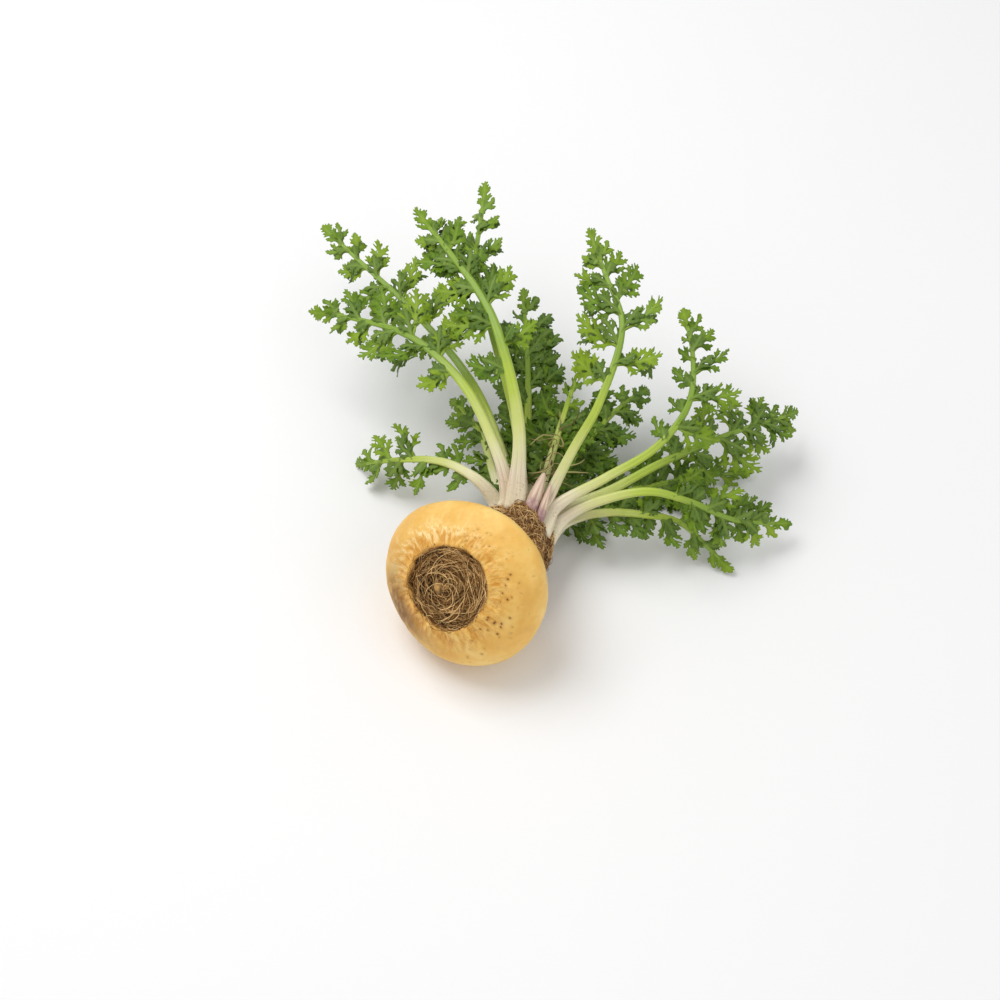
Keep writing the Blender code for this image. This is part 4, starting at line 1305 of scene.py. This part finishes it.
def small_tier(length, spot, way, tier, own):
    """A smaller sheet from a leaflet's rib, leaning off the leaf's face."""
    root, along, side, front = spot
    place, forward, outward = tier
    lean = forward * way * own.uniform(0.6, 1.2) + outward * front * own.uniform(0.5, 1.3)
    root = root + place * length * along
    along = unit(along + lean)
    side = unit(side - (side @ along) * along)
    small = TIER_LENGTH * length * own.uniform(0.8, 1.15)
    reaches = [[TIER_REACH * small * own.uniform(*LOBE_VARIATION) for _ in range(2)] for _ in range(2)]
    spot = (root, along, side, np.cross(along, side))
    return leaflet_mesh(small, spot, 0.0, 0.2, 0.3, reaches, own, INNER_CELL)


def leaflet_sheets(number, item, spot, way, draws, own):
    """A leaflet's sheets: the leaflet itself, then the smaller ones on its rib."""
    _, side, length, _ = item
    lift, curl = draws.uniform(-LEAFLET_LIFT, LEAFLET_LIFT), draws.uniform(*LEAFLET_CURL)
    lobes = max(1, min(MOST_LOBES, round(length / LOBE_SPACING)))
    reaches = []
    for i in range(lobes):
        reach = length * LOBE_REACH * (1 - LOBE_TAPER * i / lobes) * (1 if side else END_NARROWING)
        reaches.append([reach * draws.uniform(*LOBE_VARIATION) for _ in range(2)])
    if not side:
        length *= END_STRETCH.get(number, 1.0)
    cell = INNER_CELL if draws is own else CELL
    sheets = [leaflet_mesh(length, spot, -LEAFLET_BEND * side, lift, curl, reaches, own, cell)]
    if side and length > TIER_LEAST:
        tiers = TIERS[:3 if number in DENSEST else 2 if number in CROWDED else 1]
        sheets += [small_tier(length, spot, way, tier, own) for tier in tiers]
    return sheets


def make_leaf(number, leaf, paints):
    """One leaf: its stalk and all its leaflets, in place of its solid."""
    chance, own = random.Random(LEAF_SEED + number), random.Random(FINE_SEED + number)
    places, directions = path_points(stalk_line(leaf.foot, leaf.route), PATH_POINTS)
    grown = lengths_along(places)
    fuller = STALK_FULLER * STOUT_STALKS.get(number, 1.0)
    purple = own.uniform(0.1, 0.6) + MORE_PURPLE.get(number, 0.0)
    points, faces, values = stalk_mesh(leaf, places, directions, grown, purple, fuller)
    kinds = [0] * len(faces)
    parts, total = [points], len(points)
    for label in ("vein", "under", "tone", "bloom"):
        values[label] = [0.0] * total
    leaf_bloom = own.random() ** 1.5
    plan = [(item, chance) for item in leaf_plan(leaf, chance)]
    plan += [(item, own) for item in low_plan(number, own)]
    for item, draws in plan:
        share, side, _, opening = item
        at = round(share * end_share(leaf, grown) * (PATH_POINTS - 1))
        spot = leaflet_frame(places[at], directions[at], side, opening, leaf.roll, draws)
        if draws is own:
            spot = (spot[0] - LOW_SINK * spot[3], *spot[1:])
        sheets = leaflet_sheets(number, item, spot, directions[at], draws, own)
        for inner, (sheet, both, told) in enumerate(sheets):
            faces += [tuple(total + i for i in face) for face in both]
            kinds += [1] * len(both)
            parts.append(sheet)
            # Small sheets on the ribs and low leaflets take the darker tones, as painted shade inside the
            # foliage
            low, span = SHADED_INNER_TONES if inner or draws is own else OUTER_TONES
            # Outer leaves are made lighter as painted light, inner leaves darker as painted shade
            tone = low + span * own.random() + LEAF_LIGHT_AND_SHADE.get(number, 0.0)
            fill = {"tone": tone, "bloom": leaf_bloom * own.uniform(0.4, 1.0), "grown": grown[at] / GROWN,
                    "round": (0.0, 0.0, 0.0), "purple": 0.0, "soiled": 0.0}
            for label, filler in fill.items():
                values[label] += [filler] * len(sheet)
            for label, numbers in told.items():
                values[label] += numbers.tolist()
            total += len(sheet)
    name = f"leaf_{number:02d}"
    add_piece(name + "_fine", "leaf_green", np.concatenate(parts), faces, paints, values, kinds, name)


# Shoots


def make_shoot(number, shoot, paint):
    """A young sheath: a ribbed blunt spear whose one edge laps over the other."""
    start = crown_point(*shoot.foot, NECK_HEIGHT + STALK_START)
    line = np.array(shoot.tip) - start
    across = unit(np.cross(line, FACING))
    front = np.cross(across, unit(line))
    rings, sides = SHOOT_MESH
    shares = np.linspace(0, 1, len(SHOOT_WIDTHS))
    sheath = Cloud()
    for t in even_shares(rings):
        width = float(np.interp(t, shares, SHOOT_WIDTHS)) * shoot.size
        width *= math.sqrt(max(0.02, 1 - max(0.0, (t - 0.9) / 0.1) ** 2))
        for angle in around(sides):
            lap = 0.16 * smooth_step(((angle - 1.1 - 0.5 * t) % TURN) / 0.35) * (1 - t)
            reach = 0.90 + 0.05 * math.cos(7 * angle + 2 * t) + lap
            offset = math.cos(angle) * across + SHOOT_DEPTH * math.sin(angle) * front
            spin = (math.cos(angle), math.sin(angle), 2 * t)
            foot = smooth_step((0.55 - t) / 0.3)
            sheath.add(start + line * t + width / 2 * reach * offset, round=spin, foot=foot)
    name = f"shoot_{number:02d}"
    faces = tube_faces(rings, sides)
    add_piece(name + "_fine", "young_sheath", sheath.points, faces, [paint], sheath.values, replaced=name)


# Withered threads on an inner leaf's stalk: which leaf and shares of its line, how many, steps and sides,
# length and thickness in millimetres, how fast they wind and how far in front of the stalk they start
DRY_LEAF = 14
DRY_SHARES = (0.25, 0.62)
DRY_THREADS = 26
DRY_SEED = 71
DRY_STEPS = 16
DRY_SIDES = 5
DRY_LENGTH = (6.0, 15.0)
DRY_THICK = (0.13, 0.27)
DRY_WINDING = 0.14
DRY_LIFT = 2.4


def make_dry_threads():
    """Withered brown threads, wound loosely round the stalk of an inner leaf."""
    chance = random.Random(DRY_SEED)

    def scatter():
        return np.array([chance.gauss(0, 1) for _ in range(3)])

    leaf = LEAVES[DRY_LEAF - 1]
    stalk = path_points(stalk_line(leaf.foot, leaf.route), PATH_POINTS)[0] + DRY_LIFT * FACING
    strands = []
    for _ in range(DRY_THREADS):
        place = stalk[round(len(stalk) * chance.uniform(*DRY_SHARES))]
        way, turn = unit(scatter() * (1.0, 1.0, 0.25)), np.zeros(3)
        step = chance.uniform(*DRY_LENGTH) / (DRY_STEPS - 1)
        path = []
        for _ in range(DRY_STEPS):
            path.append(place)
            turn = 0.85 * turn + DRY_WINDING * scatter()
            way = unit(way + turn)
            place = place + step * way * (1.0, 1.0, 0.4)
        radii = taper_ends(chance.uniform(*DRY_THICK), DRY_STEPS)
        strands.append((path, radii, chance.random()))
    paint = strand_paint("maca_dry_thread", (0.10, 0.07, 0.025), (0.25, 0.19, 0.07), (0.48, 0.41, 0.18))
    add_strands("dry_threads", "young_sheath", strands, DRY_SIDES, paint)


# Studio

# In metres and watts: the floor's half-width, the lights' aim, and each light's name, place, size and power
FLOOR_REACH = 3.0
LIGHT_AIM = np.array([0.02, 0.04, 0.02])
LIGHTS = (("key", (-0.30, 0.20, 0.75), 0.5, 3.8), ("fill", (0.6, -0.5, 0.6), 0.8, 1.4))


def make_floor():
    """A plain pale floor."""
    mesh = bpy.data.meshes.new("floor")
    corners = [(x * FLOOR_REACH, y * FLOOR_REACH, 0) for x, y in ((-1, -1), (1, -1), (1, 1), (-1, 1))]
    mesh.from_pydata(corners, [], [(0, 1, 2, 3)])
    paint = Paint("studio_floor", rough=0.9)
    paint.colour = paint.ramp(paint.noise(3.0, 2), (0.3, 0.90), (0.7, 0.92))
    mesh.materials.append(paint.finish())
    add_object("floor", mesh)


def add_light(name, place, size, power):
    """A square soft light that points at the object's middle."""
    light = bpy.data.lights.new(name, "AREA")
    light.shape = "SQUARE"
    light.size = size
    light.energy = power
    back = unit(np.array(place) - LIGHT_AIM)
    add_object(name, light).matrix_world = facing_matrix(place, back)


def facing_matrix(place, back):
    """A matrix at a place whose local +Z looks back, level from side to side."""
    right = unit(np.cross(UP, back))
    columns = np.column_stack([right, np.cross(back, right), back, place])
    return Matrix([*columns.tolist(), (0.0, 0.0, 0.0, 1.0)])


# The camera: how steeply it looks down, how far it stands, and where it aims, in metres
CAMERA_PITCH = math.radians(55)
CAMERA_DISTANCE = 0.700
CAMERA_AIM = np.array([0.01134, 0.02309, 0.03606])
CAMERA_LENS = 85.3


def make_camera():
    """A camera at the viewing angle of the object."""
    camera = bpy.data.cameras.new("camera")
    camera.sensor_width = 36
    camera.lens = CAMERA_LENS
    camera.clip_start = 0.01
    view = add_object("camera", camera)
    back = np.array([0.0, -math.cos(CAMERA_PITCH), math.sin(CAMERA_PITCH)])
    view.matrix_world = facing_matrix(CAMERA_AIM + CAMERA_DISTANCE * back, back)
    bpy.context.scene.camera = view


def make_studio():
    """Floor, soft lights and a pale surrounding."""
    make_floor()
    for light in LIGHTS:
        add_light(*light)
    world = bpy.data.worlds.new("studio")
    world.use_nodes = True
    background = world.node_tree.nodes["Background"]
    background.inputs["Color"].default_value = (1.0, 1.0, 1.0, 1.0)
    background.inputs["Strength"].default_value = 0.58
    bpy.context.scene.world = world
    bpy.context.scene.view_settings.view_transform = "Standard"


def main():
    """Builds every piece, the studio and the camera."""
    make_body()
    make_mat()
    make_crust()
    make_rootlets()
    make_collar()
    make_collar_fibres()
    make_crumbs()
    paints = [stalk_paint(), blade_paint()]
    for number, leaf in enumerate(LEAVES, 1):
        make_leaf(number, leaf, paints)
    sheath = shoot_paint()
    for number, shoot in enumerate(SHOOTS, 1):
        make_shoot(number, shoot, sheath)
    make_dry_threads()
    make_studio()
    make_camera()


main()
